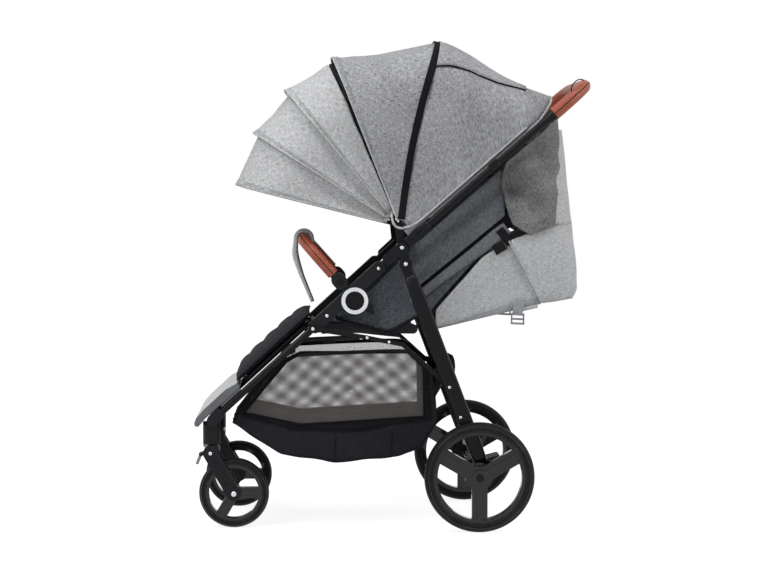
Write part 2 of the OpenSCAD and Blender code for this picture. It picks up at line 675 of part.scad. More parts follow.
brake_ring_d = 2 * brake_r + 13;
module rear_rim() color("#131415") difference() {
    at_wheel(rear_axle_p, rear_wheel_y) {
        rim_d = rear_wheel_d - 2 * rear_tyre_h;
        hub_a = hub_in - rear_wheel_y;
        wheel_rim(rim_d, rear_ring_h, rear_tyre_w, rear_arm_w, hub_a, rear_hub_out - rear_wheel_y, -90);
        side(hub_a, hub_a + pin_travel + 4) difference() {
            circle(d = brake_ring_d);
            circle(d = hub_d - 2);
        }
    }
    for (k = [0:30:330])
        pin(rear_axle_p + turn([brake_r, 0], brake_a + k), brake_pin_d + 2,
            hub_in - 1, hub_in + pin_travel + 2);
}
module rear_tyre_left() rear_tyre();
module rear_tyre_right() right_hand() rear_tyre();
module rear_rim_left() rear_rim();
module rear_rim_right() right_hand() rear_rim();

// Braces between the front and rear legs
brace_eye = 18;
module brace_fronts() color("#1a1b1d") both()
    side(front_brace_in + seat_gap, front_brace_in + brace_t) difference() {
        union() {
            bar(knee_p, brace_mid_p, brace_h);
            translate(knee_p) circle(d = brace_eye);
        }
        translate(knee_p) circle(d = pin_d + 2 * fit);
    }
module brace_rears() color("#1a1b1d") both() difference() {
    union() {
        brace_out = rear_brace_in + brace_t;
        route = [brace_mid_p, brace_mid_p + [82, -16], brace_end_p];
        side(rear_brace_in, brace_out) for (k = [0, 1]) bar(route[k], route[k + 1], brace_h);
        pin(brace_end_p, brace_eye, rear_brace_in, boss_out);
        for (t = [0, 0.62])
            pin(route[0] + t * (route[1] - route[0]), rivet_d, brace_out - 1, brace_out + rivet_h);
    }
    pin(brace_end_p, pin_d - 2 + 2 * fit, rear_brace_in - 1, boss_out + 1);
}

// Front casters
fork_t = 6;
fork_gap = front_tyre_w / 2 + 4;
fork_w = 34;
crown_w = 22;
fork_slot = 12;
fork_p = stem_p + [-2, -14];
function on_fork(t) = fork_p + t * (front_axle_p - fork_p);
lock_pin_d = 4;
// Flat shape on one cheek of a caster, from one distance off its middle to another
module cheek(a, b) for (s = [-1, 1])
    translate([0, s * (a + b) / 2 - caster_y, 0]) across((b - a) / 2) children();
module fork() color("#1e1f22") {
    stem(stem_d, -20, stem_up);
    fork_out = fork_gap + fork_t;
    side(caster_y - fork_out, caster_y + fork_out) bar(stem_p + [-6, -8], stem_p + [8, -6], crown_w);
    difference() {
        cheek(fork_gap, fork_out) bar(fork_p, front_axle_p, fork_w);
        cheek(fork_out - 2, fork_out + 1) bar(on_fork(0.22), on_fork(0.74), fork_slot);
    }
    pin(front_axle_p, axle_d, caster_y - fork_out - 3, caster_y + fork_out + 3);
    pin(lock_p, lock_pin_d, caster_y - 12, caster_y + 12);
    cheek(8, 12) bar(lock_p, stem_p + [-8, -12], 8);
}
module fork_left() fork();
module fork_right() right_hand() fork();
module swivel_lock() color("#8d9094") side(caster_y - 7.4, caster_y + 7.4) difference() {
    union() {
        translate(lock_p) circle(d = lock_pin_d + 6);
        bar(lock_p, lock_p + [-8, -20], 7);
    }
    translate(lock_p) circle(d = lock_pin_d + 2 * fit);
}
module swivel_lock_left() swivel_lock();
module swivel_lock_right() right_hand() swivel_lock();
module front_tyre() color("#1b1b1c")
    at_wheel(front_axle_p, caster_y) wheel_tyre(front_wheel_d, front_tyre_w, front_tyre_h);
module front_rim() color("#131415") at_wheel(front_axle_p, caster_y) {
    rim_d = front_wheel_d - 2 * front_tyre_h;
    wheel_rim(rim_d, front_ring_h, front_tyre_w, front_arm_w, run - fork_gap, fork_gap - run, 0);
}
module front_tyre_left() front_tyre();
module front_tyre_right() right_hand() front_tyre();
module front_rim_left() front_rim();
module front_rim_right() right_hand() front_rim();

// Bumper bar
bumper_end = 44;
button_p = bumper_p + 20 * bumper_axis;
bumper_eye = 33;
button_d = 14;
module bumper_bar() color("#1c1d1f") difference() {
    union() {
        bow(bumper_p, bumper_tilt, bumper_l, bumper_y, bumper_bend, bumper_d, 30);
        both() side(housing_in + 0.6, housing_out + 3)
            bar(bumper_p + 18.5 * bumper_axis, bumper_p + (bumper_end - 17) * bumper_axis, bumper_eye);
    }
    both() bumper_peg(peg_d + 2 * fit, -20, peg_l + 2);
    both() pin(button_p, button_d + 2 * fit, housing_out - 2.4, housing_out + 4);
}
module bumper_grip() color("#a5502f") difference() {
    bow(bumper_p, bumper_tilt, bumper_l, bumper_y, bumper_bend, bumper_d + 2 * leather_t, bumper_end + 1);
    bow(bumper_p, bumper_tilt, bumper_l, bumper_y, bumper_bend, bumper_d + 0.4, bumper_end);
}
module bumper_button() color("#2b2d30") pin(button_p, button_d, housing_out + 0.8, housing_out + 4.4);
module bumper_button_left() bumper_button();
module bumper_button_right() right_hand() bumper_button();
strap_top = bumper_p + bumper_l * bumper_axis;
loop_r = bumper_d / 2 + leather_t + seat_gap;
strap_h = 6;
strap_route = [[-loop_r - 2, -4], [-8, -72], [14, -132]];
module crotch_strap() color("#c3c4c5") across(24) difference() {
    union() {
        translate(strap_top) circle(loop_r + 2.4);
        for (k = [0, 1]) bar(strap_top + strap_route[k], strap_top + strap_route[k + 1], strap_h);
    }
    translate(strap_top) circle(loop_r);
}

// Screw heads in the leg housings and sockets
module frame_rivets() color("silver") both() for (d = [bracket_l + 32, knee_along - 44])
    pin(front_at(d), rivet_d, housing_out, housing_out + rivet_h);

front_leg_left();
front_leg_right();
leg_housings();
hub_rings();
hub_caps();
hinge_brackets();
caster_sockets();
front_crossbar();
footrest();
seat_base();
seat_pad();
seat_sides();
harness_buckle();
buckle_button();
basket_tub();
basket_net();
frame_rivets();
upper_tube_left();
upper_tube_right();
handle_bar();
handle_grip();
handle_collars();
recline_sling();
canopy_rear();
canopy_skirt();
fold_latch_left();
fold_latch_right();
canopy_lip();
canopy_bow();
canopy_hoop();
canopy_cloth();
rear_leg_left();
rear_leg_right();
rear_axle();
brake_pedal();
brake_pin_left();
brake_pin_right();
rear_tyre_left();
rear_tyre_right();
rear_rim_left();
rear_rim_right();
fork_left();
fork_right();
front_tyre_left();
front_tyre_right();
front_rim_left();
front_rim_right();
swivel_lock_left();
swivel_lock_right();
brace_fronts();
brace_rears();
backrest_board();
backrest_pad();
leg_rest();
bumper_bar();
bumper_grip();
bumper_button_left();
bumper_button_right();
crotch_strap();
recline_strap();
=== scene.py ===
import json
import math

import bmesh
import bpy
import numpy as np
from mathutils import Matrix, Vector, noise

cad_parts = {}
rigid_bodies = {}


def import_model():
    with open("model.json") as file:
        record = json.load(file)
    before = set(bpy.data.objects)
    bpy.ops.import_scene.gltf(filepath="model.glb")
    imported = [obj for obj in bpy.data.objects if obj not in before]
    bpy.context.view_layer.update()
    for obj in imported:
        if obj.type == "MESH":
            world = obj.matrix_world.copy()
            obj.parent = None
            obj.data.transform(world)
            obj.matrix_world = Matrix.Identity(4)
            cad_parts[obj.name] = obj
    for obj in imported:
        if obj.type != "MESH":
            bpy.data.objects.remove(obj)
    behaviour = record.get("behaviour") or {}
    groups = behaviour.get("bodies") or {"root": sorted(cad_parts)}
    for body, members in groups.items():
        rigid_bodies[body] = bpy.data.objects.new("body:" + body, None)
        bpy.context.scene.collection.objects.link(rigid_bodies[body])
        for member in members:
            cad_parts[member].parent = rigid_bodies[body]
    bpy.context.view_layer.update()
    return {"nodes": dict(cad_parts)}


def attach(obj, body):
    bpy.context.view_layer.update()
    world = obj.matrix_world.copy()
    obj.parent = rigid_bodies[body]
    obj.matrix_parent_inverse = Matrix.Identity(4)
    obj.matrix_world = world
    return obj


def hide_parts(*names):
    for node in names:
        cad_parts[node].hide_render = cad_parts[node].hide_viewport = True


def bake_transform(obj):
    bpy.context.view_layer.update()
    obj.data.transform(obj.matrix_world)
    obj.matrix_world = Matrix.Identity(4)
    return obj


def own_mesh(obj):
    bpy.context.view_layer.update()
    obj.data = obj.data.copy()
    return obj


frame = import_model()
scene = bpy.context.scene
nodes = frame["nodes"]

# Camera at the photograph's viewing angle
EYE = (-0.18, -5.58, 0.813)
YAW = math.radians(1.75)
PITCH = math.radians(2.74)
camera = bpy.data.objects.new("camera", bpy.data.cameras.new("camera"))
aim = Vector((math.sin(YAW) * math.cos(PITCH), math.cos(YAW) * math.cos(PITCH), -math.sin(PITCH)))
camera.location = EYE
camera.rotation_euler = aim.to_track_quat("-Z", "Y").to_euler()
camera.data.lens = 108.5
camera.data.sensor_width = 36
scene.collection.objects.link(camera)
scene.camera = camera
scene.view_settings.view_transform = "Standard"


class Socket:
    """A socket in a finish's node tree, with the sums that the finishes use."""

    def __init__(self, tree, link=None):
        self.tree = tree
        self.link = link

    def node(self, kind, settings=None, inputs=None, out=0):
        made = self.tree.nodes.new("ShaderNode" + kind)
        for key, value in (settings or {}).items():
            if key == "stops":
                self.stops(made.color_ramp.elements, value)
            else:
                setattr(made, key, value)
        for key, value in (inputs or {}).items():
            if isinstance(value, Socket):
                self.tree.links.new(value.link, made.inputs[key])
            else:
                made.inputs[key].default_value = value
        return Socket(self.tree, made.outputs[out])

    @staticmethod
    def stops(elements, stops):
        elements[0].position, elements[0].color = stops[0]
        elements[-1].position, elements[-1].color = stops[-1]
        for place, colour in stops[1:-1]:
            elements.new(place).color = colour

    def sum(self, operation, first, second=0.0):
        return self.node("Math", {"operation": operation}, {0: first, 1: second})

    def __add__(self, other):
        return self.sum("ADD", self, other)

    def __sub__(self, other):
        return self.sum("SUBTRACT", self, other)

    def __rsub__(self, other):
        return self.sum("SUBTRACT", other, self)

    def __mul__(self, other):
        return self.sum("MULTIPLY", self, other)

    def __gt__(self, other):
        return self.sum("GREATER_THAN", self, other)

    __radd__ = __add__
    __rmul__ = __mul__

    def sine(self):
        return self.sum("SINE", self)

    def mix(self, low, high):
        return self.node("Mix", {"data_type": "RGBA"}, {0: self, 6: low, 7: high}, out=2)

    def noise(self, at, scale, detail=3.0, rough=0.55):
        return self.node("TexNoise", None, {"Vector": at, "Scale": scale, "Detail": detail, "Roughness": rough})

    def part(self, index):
        return self.node("SeparateXYZ", None, {0: self}, out=index)

    def place(self):
        return self.node("TexCoord", out="Object")

    def cloth(self, across=1.0, along=1.0):
        uv = self.node("UVMap", {"uv_map": "cloth"})
        return self.node("Mapping", None, {"Vector": uv, "Scale": (across, along, 1)})

    def bump(self, height, strength, distance, normal=None):
        inputs = {"Height": height, "Strength": strength, "Distance": distance}
        if normal:
            inputs["Normal"] = normal
        return self.node("Bump", None, inputs)


def tint(colour, share=1.0):
    """A share of a colour as it shows on a screen, 0 to 255, for a shader's socket."""
    part = [v / 255 for v in colour]
    return (*[(v / 12.92 if v < 0.04 else ((v + 0.055) / 1.055) ** 2.4) * share for v in part], 1.0)


def finish(name, draw, fixed=None):
    made = bpy.data.materials.new(name)
    made.use_nodes = True
    tree = made.node_tree
    shader = tree.nodes["Principled BSDF"]
    for key, value in {**(fixed or {}), **draw(Socket(tree))}.items():
        if isinstance(value, Socket):
            tree.links.new(value.link, shader.inputs[key])
        else:
            shader.inputs[key].default_value = value
    return made


def heather(name, dark, light, cloud=0.25, weave=0.0021, depth=0.45):
    """Melange cloth: crossed yarns of two tones, with a plain weave."""
    dark, light = tint(dark), tint(light)
    mid = (*[(a + b) / 2 for a, b in zip(dark[:3], light[:3])], 1.0)

    def draw(t):
        weft = t.noise(t.cloth(640, 90), 1, 1, 0.6)
        warp = t.noise(t.cloth(90, 640), 1, 1, 0.6)
        speck = t.noise(t.cloth(640, 640), 1, 1)
        wide = t.noise(t.cloth(6, 6), 1, 3)
        tone = weft * 0.9 + warp * 0.9 + speck * 0.4 + wide * cloud - (0.6 + cloud * 0.5)
        ramp = {"stops": [(0.1, dark), (0.5, mid), (0.9, light)]}
        colour = t.node("ValToRGB", ramp, {"Fac": tone})
        turn = 2 * math.pi / weave
        u = t.cloth(turn, turn).part(0)
        v = t.cloth(turn, turn).part(1)
        height = u.sine() * v.sine() * 0.5 + weft * 0.5 + warp * 0.5
        return {
            "Base Color": colour,
            "Roughness": 0.94 - speck * 0.12,
            "Normal": t.bump(height, depth, 0.0006),
        }

    return finish(name, draw, {"Sheen Weight": 0.02, "Sheen Roughness": 0.5, "Specular IOR Level": 0.08})


def satin(name, colour, rough, grain=700, depth=0.08, edge=0.0012, metal=0.0, coat=0.0):
    """Painted tube or moulded plastic: fine texture, soft edges and uneven gloss."""

    def draw(t):
        at = t.place()
        worn = t.noise(at, 22, 4)
        fine = t.noise(at, grain, 2)
        soft = t.node("Bevel", {"samples": 4}, {"Radius": edge})
        return {
            "Base Color": worn.mix(tint(colour, 0.8), tint(colour, 1.25)),
            "Roughness": rough - 0.1 + worn * 0.14 + fine * 0.06,
            "Normal": t.bump(fine, depth, 0.0004, soft),
        }

    return finish(name, draw, {"Metallic": metal, "Coat Weight": coat, "Specular IOR Level": 0.14})


def leather(name, colour):
    def draw(t):
        at = t.place()
        tone = t.noise(at, 38, 4)
        pore = t.node("TexVoronoi", {"feature": "DISTANCE_TO_EDGE"}, {"Vector": at, "Scale": 520})
        crease = t.noise(at, 260, 3)
        colour_at = (tone * 0.8 + crease * 0.2).mix(tint(colour, 0.62), tint(colour, 1.25))
        height = pore.sum("MINIMUM", pore, 0.12) * 5 + crease * 0.4
        return {
            "Base Color": colour_at,
            "Roughness": 0.42 + tone * 0.2,
            "Normal": t.bump(height, 0.32, 0.0005),
        }

    return finish(name, draw, {"Coat Weight": 0.12, "Coat Roughness": 0.4})


def rubber(name, colour):
    def draw(t):
        at = t.place()
        dust = t.noise(at, 30, 5, 0.7)
        fine = t.noise(at, 900, 2)
        return {
            "Base Color": dust.mix(tint(colour, 0.75), tint(colour, 1.5)),
            "Roughness": 0.42 + dust * 0.2,
            "Normal": t.bump(fine, 0.15, 0.0004),
        }

    return finish(name, draw, {"Specular IOR Level": 0.1})


def webbing(name, colour, rib=0.0016):
    """Woven strap: ribs across its length and a finer twill."""

    def draw(t):
        u = t.cloth(2 * math.pi / rib, 1).part(0)
        v = t.cloth(1, 2 * math.pi / rib).part(1)
        fine = t.noise(t.cloth(500, 500), 1, 2)
        height = (u + v).sine() * 0.5 + fine * 0.4
        tone = fine * 0.8 + height * 0.2
        return {
            "Base Color": tone.mix(tint(colour, 0.65), tint(colour, 1.3)),
            "Roughness": 0.78 + fine * 0.15,
            "Normal": t.bump(height, 0.3, 0.0005),
        }

    return finish(name, draw, {"Specular IOR Level": 0.12})


def mesh_net(name, thread, shadow, pitch=0.0034):
    """Net: fine threads round holes in staggered rows."""

    def draw(t):
        x = t.place().part(0) * (math.pi / pitch)
        z = t.place().part(2) * (math.pi * 1.35 / pitch)
        across = (x + z).sine()
        along = (x - z).sine()
        hole = (across * across) * (along * along)
        tone = t.noise(t.place(), 18, 3)
        return {
            "Base Color": tone.mix(tint(shadow), tint(thread)),
            "Roughness": 0.7 + tone * 0.2,
            "Alpha": 1 - (hole > 0.17) * 0.95,
        }

    return finish(name, draw)


hood_cloth = heather("hood_cloth", (106, 107, 109), (222, 223, 224), 0.3)
# The darker hood cloth below is painted shade: the same cloth as hood_cloth, darkened for the main, rear and flap
# panels that face away from the light.
hood_painted_shade_cloth = heather("hood_painted_shade_cloth", (66, 68, 71), (196, 197, 200), 0.4)
seat_cloth = heather("seat_cloth", (30, 33, 38), (114, 119, 125), 0.4)
wing_cloth = heather("wing_cloth", (50, 53, 57), (142, 146, 151), 0.5)
curtain_cloth = heather("curtain_cloth", (52, 52, 53), (160, 160, 160), 0.5)
pale_cloth = heather("pale_cloth", (134, 136, 139), (220, 221, 222), 0.3)
strap_cloth = heather("strap_cloth", (64, 67, 71), (142, 145, 149), 0.3)
bumper_cloth = heather("bumper_cloth", (166, 168, 171), (236, 237, 239), 0.3)
charcoal_cloth = heather("charcoal_cloth", (30, 31, 34), (58, 59, 63), 0.5, 0.0016, 0.3)
basket_cloth = heather("basket_cloth", (28, 28, 33), (46, 46, 52), 0.5, 0.0016, 0.3)
black_cloth = heather("black_cloth", (14, 14, 16), (34, 34, 37), 0.3, 0.0016, 0.3)
board_cloth = heather("board_cloth", (128, 130, 134), (176, 178, 181), 0.3)
black_webbing = webbing("black_webbing", (27, 27, 30))
net = mesh_net("net", (112, 107, 105), (84, 80, 78))
frame_paint = satin("frame_paint", (17, 17, 20), 0.26)
tube_paint = satin("tube_paint", (16, 16, 20), 0.24)
housing_black = satin("housing_black", (27, 28, 30), 0.5, depth=0.16)
bracket_black = satin("bracket_black", (20, 21, 25), 0.42, depth=0.14)
gloss_black = satin("gloss_black", (14, 14, 16), 0.22, depth=0.03)
rim_black = satin("rim_black", (11, 11, 13), 0.16, depth=0.02, edge=0.0025, coat=0.5)
fork_black = satin("fork_black", (27, 27, 30), 0.42, depth=0.14)
white_plastic = satin("white_plastic", (232, 234, 238), 0.35, depth=0.03)
footrest_grey = satin("footrest_grey", (98, 100, 104), 0.3, depth=0.12, edge=0.004, coat=0.3)
lever_grey = satin("lever_grey", (140, 143, 147), 0.4)
button_red = satin("button_red", (150, 44, 38), 0.4)
board_black = satin("board_black", (38, 39, 42), 0.6)
steel = satin("steel", (196, 198, 202), 0.24, depth=0.02, edge=0.0006, metal=1.0)
tyre_rubber = rubber("tyre_rubber", (20, 20, 22))
grip_leather = leather("grip_leather", (150, 66, 40))
seam_thread = webbing("seam_thread", (196, 130, 96), 0.0006)
dark_thread = webbing("dark_thread", (40, 24, 18), 0.0006)
grey_thread = webbing("grey_thread", (150, 152, 156), 0.0006)
hem_thread = webbing("hem_thread", (128, 130, 134), 0.0006)
band_webbing = webbing("band_webbing", (15, 15, 17), 0.003)

CAD_FINISH = (
    (frame_paint, "front_leg_left front_leg_right front_crossbar rear_leg_left rear_leg_right rear_axle"
                  " brace_fronts brace_rears"),
    (tube_paint, "upper_tube_left upper_tube_right handle_bar"),
    (housing_black, "leg_housings brake_pedal bumper_bar"),
    (bracket_black, "hinge_brackets fold_latch_left fold_latch_right"),
    (gloss_black, "hub_caps harness_buckle handle_collars canopy_lip canopy_bow canopy_hoop"
                  " bumper_button_left bumper_button_right"),
    (fork_black, "caster_sockets fork_left fork_right"),
    (rim_black, "rear_rim_left rear_rim_right front_rim_left front_rim_right"),
    (tyre_rubber, "rear_tyre_left rear_tyre_right front_tyre_left front_tyre_right"),
    (lever_grey, "swivel_lock_left swivel_lock_right"),
    (steel, "frame_rivets brake_pin_left brake_pin_right"),
    (grip_leather, "handle_grip bumper_grip"),
    (board_black, "seat_base backrest_board"),
    (white_plastic, "hub_rings"), (footrest_grey, "footrest"), (button_red, "buckle_button"),
)
for made, names in CAD_FINISH:
    for name in names.split():
        nodes[name].data.materials.clear()
        nodes[name].data.materials.append(made)

# Sizes of the frame in its side view, in millimetres
FOLD = np.array((20.0, 653.0))
CANOPY = np.array((15.0, 703.0))
FRONT_TILT = 42.5
UPPER_TILT = 41.2
LINER_OUT = 182.0
HOOD_HALF = 212.4
HOOP_ANGLE = 77.5
REACH = {166: 388.0, 147.5: 397.1, 130: 408.2, 112: 417.9, HOOP_ANGLE: 436.0, UPPER_TILT: 463.0}
SIDES = {"left": -1, "right": 1}
REAR_HUB = (197, 127)
FRONT_HUB = (-369, 81.5)
ACROSS = (0, 1, 0)
UPWARD = (0, 0, 1)


def turned(point, degrees):
    a = math.radians(degrees)
    x, z = point
    return np.array((x * math.cos(a) - z * math.sin(a), x * math.sin(a) + z * math.cos(a)))


def turned_up(tilt):
    """Direction square to a sloping board or tube."""
    x, z = turned((0, 1), tilt)
    return (x, 0, z)


def steps(count):
    return np.linspace(0, 1, count)


def hump(t):
    """Rises from 0 to 1 halfway along, and falls back."""
    return math.sin(math.pi * t)


def arch(v):
    """Full in the middle, nothing at -1 and 1."""
    return math.cos(v * math.pi / 2)


def front_at(along, off=0.0):
    return FOLD + turned((-along, off), FRONT_TILT)


def upper_at(along, off=0.0):
    return FOLD + turned((along, off), UPPER_TILT)


def at(point, y):
    return np.array((point[0], y, point[1]))


def along_line(points, count):
    """Points evenly spaced along a line of straight runs."""
    points = np.asarray(points, float)
    run = np.r_[0, np.cumsum(np.linalg.norm(np.diff(points, axis=0), axis=1))]
    place = np.linspace(0, run[-1], count)
    return np.stack([np.interp(place, run, points[:, k]) for k in range(points.shape[1])], 1)


def curve(points, count):
    """Points along a smooth curve through the given ones."""
    points = np.asarray(points, float)
    ends = np.vstack([2 * points[0] - points[1], points, 2 * points[-1] - points[-2]])
    fine = []
    for a, b, c, d in zip(ends, ends[1:], ends[2:], ends[3:]):
        for s in np.linspace(0, 1, 16, endpoint=False):
            fine.append(0.5 * (2 * b + (c - a) * s + (2 * a - 5 * b + 4 * c - d) * s ** 2
                               + (3 * b - a - 3 * c + d) * s ** 3))
    return along_line([*fine, points[-1]], count)


def new_piece(name, points, faces, made, uv=None, smooth=True):
    """Object at the origin from points in millimetres."""
    mesh = bpy.data.meshes.new(name)
    mesh.from_pydata((np.asarray(points) / 1000).tolist(), [], faces)
    if uv is not None:
        layer = mesh.uv_layers.new(name="cloth")
        corner = np.zeros(len(mesh.loops), np.int32)
        mesh.loops.foreach_get("vertex_index", corner)
        layer.data.foreach_set("uv", (np.asarray(uv)[corner] / 1000).astype(np.float32).ravel())
    mesh.polygons.foreach_set("use_smooth", [smooth] * len(mesh.polygons))
    mesh.materials.append(made)
    piece = bpy.data.objects.new(name, mesh)
    scene.collection.objects.link(piece)
    return piece


def outward(piece):
    shape = bmesh.new()
    shape.from_mesh(piece.data)
    bmesh.ops.remove_doubles(shape, verts=shape.verts, dist=1e-6)
    bmesh.ops.recalc_face_normals(shape, faces=shape.faces)
    shape.to_mesh(piece.data)
    shape.free()
    return piece


def grid_faces(rows, cols, ring=False, tube=False):
    faces = []
    for i in range(rows if ring else rows - 1):
        for j in range(cols if tube else cols - 1):
            k, m = (i + 1) % rows, (j + 1) % cols
            faces.append((i * cols + j, i * cols + m, k * cols + m, k * cols + j))
    return faces


def lengths(grid):
    """Distances along a grid's rows and columns, for a cloth's UV map."""
    u = np.zeros(grid.shape[:2])
    v = np.zeros(grid.shape[:2])
    u[:, 1:] = np.cumsum(np.linalg.norm(np.diff(grid, axis=1), axis=2), axis=1)
    v[1:] = np.cumsum(np.linalg.norm(np.diff(grid, axis=0), axis=2), axis=0)
    return np.stack([u, v], 2).reshape(-1, 2)


def normals(grid):
    across = np.gradient(grid, axis=1)
    along = np.gradient(grid, axis=0)
    n = np.cross(across, along)
    return n / np.maximum(np.linalg.norm(n, axis=2, keepdims=True), 1e-9)


def ruffle(grid, height, size, seed=0.0):
    """Grid with soft dents and folds in it."""
    grid = np.asarray(grid, float)
    lift = [[noise.noise(Vector(p / size) + Vector((seed, seed * 0.7, -seed))) for p in row] for row in grid]
    return grid + normals(grid) * (np.array(lift) * height)[..., None]


def thicken(piece, thick, offset=-1.0):
    wall = piece.modifiers.new("wall", "SOLIDIFY")
    wall.thickness = thick / 1000
    wall.offset = offset
    return piece


LEAST_FILL = 0.35


def declare_sheet(piece, rests_on=()):
    """Works out, from a cloth piece's own surface, the size it was cut to; the results are not kept."""
    mesh = piece.data
    area = sum(p.area for p in mesh.polygons)
    uv = np.zeros(len(mesh.loops) * 2, np.float32)
    mesh.uv_layers["cloth"].data.foreach_get("uv", uv)
    width, length = np.ptp(uv.reshape(-1, 2), axis=0)
    grow = max(1.0, math.sqrt(area / (width * length)) * 1.001)
    trim = min(1.0, math.sqrt(area / (width * length) / LEAST_FILL))
    return piece


def cloth(name, grid, made, thick=1.2, offset=-1.0, flip=False):
    grid = np.asarray(grid, float)
    if flip:
        grid = grid[:, ::-1]
    rows, cols = grid.shape[:2]
    piece = new_piece(name, grid.reshape(-1, 3), grid_faces(rows, cols), made, lengths(grid))
    return thicken(piece, thick, offset)


def sweep(name, path, section, made, up=ACROSS, ring=False):
    """Solid of one section along a path; the section's axes lie across the path and along up."""
    path = np.asarray(path, float)
    section = np.asarray(section, float)
    if ring:
        ahead = np.roll(path, -1, 0) - np.roll(path, 1, 0)
    else:
        ahead = np.gradient(path, axis=0)
    ahead /= np.linalg.norm(ahead, axis=1, keepdims=True)
    across = np.cross(ahead, np.broadcast_to(np.asarray(up, float), path.shape))
    across /= np.linalg.norm(across, axis=1, keepdims=True)
    rise = np.cross(across, ahead)
    sections = section if section.ndim == 3 else np.broadcast_to(section, (len(path), *section.shape))
    grid = path[:, None] + sections[..., :1] * across[:, None] + sections[..., 1:] * rise[:, None]
    rows, cols = grid.shape[:2]
    faces = grid_faces(rows, cols, ring, True)
    if not ring:
        faces += [tuple(range(cols)), tuple(range((rows - 1) * cols, rows * cols))]
    return outward(new_piece(name, grid.reshape(-1, 3), faces, made, lengths(grid)))


def round_section(radius, count=10):
    a = np.linspace(0, 2 * math.pi, count, endpoint=False)
    return np.stack([radius * np.cos(a), radius * np.sin(a)], 1)


def flat_section(width, thick, count=4):
    """Flat strap with rounded edges."""
    r = thick / 2
    a = np.linspace(-math.pi / 2, math.pi / 2, count)
    edge = np.stack([width / 2 - r + r * np.cos(a), r * np.sin(a)], 1)
    return np.vstack([edge, -edge])


def box_section(width, height, radius, count=4):
    a = np.linspace(0, math.pi / 2, count)
    corner = np.stack([np.cos(a), np.sin(a)], 1) * radius
    parts = []
    for k, (sx, sz) in enumerate(((1, 1), (-1, 1), (-1, -1), (1, -1))):
        middle = np.array((sx * (width / 2 - radius), sz * (height / 2 - radius)))
        spin = np.array(((math.cos(k * math.pi / 2), -math.sin(k * math.pi / 2)),
                         (math.sin(k * math.pi / 2), math.cos(k * math.pi / 2))))
        parts.append(middle + corner @ spin.T)
    return np.vstack(parts)


def ride(piece, body, *replaced, slot=None):
    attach(piece, body)
    if replaced:
        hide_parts(*replaced)
    return piece


class Tree:
    """A geometry node tree with named inputs, built node by node."""

    def __init__(self, name, sizes):
        self.group = bpy.data.node_groups.new(name, "GeometryNodeTree")
        face = self.group.interface
        face.new_socket("Geometry", in_out="INPUT", socket_type="NodeSocketGeometry")
        self.ids = {}
        for key, kind in sizes.items():
            self.ids[key] = face.new_socket(key, in_out="INPUT", socket_type="NodeSocket" + kind).identifier
        face.new_socket("Geometry", in_out="OUTPUT", socket_type="NodeSocketGeometry")
        self.start = self.group.nodes.new("NodeGroupInput")

    def node(self, kind, inputs, settings=None):
        made = self.group.nodes.new(kind)
        for key, value in (settings or {}).items():
            setattr(made, key, value)
        for key, value in inputs.items():
            if isinstance(value, bpy.types.NodeSocket):
                self.group.links.new(value, made.inputs[key])
            else:
                made.inputs[key].default_value = value
        return made.outputs

    def end(self, instances):
        whole = self.node("GeometryNodeRealizeInstances", {0: instances})[0]
        dressed = self.node("GeometryNodeSetMaterial", {0: whole, "Material": self.start.outputs["Finish"]})[0]
        self.node("NodeGroupOutput", {0: dressed})


def grow(name, points, edges, tree, values, outs=None):
    """Runs a tree on points and edges in millimetres and keeps the plain mesh."""
    seed = bpy.data.meshes.new(name + "_seed")
    seed.from_pydata((np.asarray(points) / 1000).tolist(), edges, [])
    if outs is not None:
        seed.attributes.new("out", "FLOAT_VECTOR", "POINT").data.foreach_set(
            "vector", np.asarray(outs, np.float32).ravel())
    source = bpy.data.objects.new(name + "_seed", seed)
    scene.collection.objects.link(source)
    modifier = source.modifiers.new("grow", "NODES")
    modifier.node_group = tree.group
    for key, value in values.items():
        modifier[tree.ids[key]] = value
    seen = source.evaluated_get(bpy.context.evaluated_depsgraph_get())
    mesh = bpy.data.meshes.new_from_object(seen)
    mesh.name = name
    bpy.data.objects.remove(source)
    piece = bpy.data.objects.new(name, mesh)
    scene.collection.objects.link(piece)
    return piece


def stitch_tree():
    tree = Tree("stitches", {"Spacing": "Float", "Length": "Float", "Radius": "Float", "Finish": "Material"})
    size = tree.start.outputs
    line = tree.node("GeometryNodeMeshToCurve", {0: size["Geometry"]})[0]
    spots = tree.node("GeometryNodeResampleCurve", {"Curve": line, "Length": size["Spacing"]},
                      {"mode": "LENGTH"})[0]
    thread = tree.node("GeometryNodeMeshCylinder", {
        "Vertices": 6, "Radius": size["Radius"], "Depth": size["Length"]})[0]
    ahead = tree.node("GeometryNodeInputTangent", {})[0]
    aim = tree.node("FunctionNodeAlignRotationToVector", {"Vector": ahead}, {"axis": "Z"})[0]
    tree.end(tree.node("GeometryNodeInstanceOnPoints", {
        "Points": spots, "Instance": thread, "Rotation": aim})[0])
    return tree


def rivet_tree():
    tree = Tree("rivets", {"Radius": "Float", "Height": "Float", "Finish": "Material"})
    size = tree.start.outputs
    dome = tree.node("GeometryNodeMeshUVSphere", {"Segments": 16, "Rings": 8, "Radius": size["Radius"]})[0]
    flat = tree.node("ShaderNodeCombineXYZ", {"X": 1.0, "Y": 1.0, "Z": size["Height"]})[0]
    shape = tree.node("GeometryNodeTransform", {"Geometry": dome, "Scale": flat})[0]
    out = tree.node("GeometryNodeInputNamedAttribute", {"Name": "out"}, {"data_type": "FLOAT_VECTOR"})[0]
    aim = tree.node("FunctionNodeAlignRotationToVector", {"Vector": out}, {"axis": "Z"})[0]
    tree.end(tree.node("GeometryNodeInstanceOnPoints", {
        "Points": size["Geometry"], "Instance": shape, "Rotation": aim})[0])
    return tree


STITCHES = stitch_tree()
RIVETS = rivet_tree()


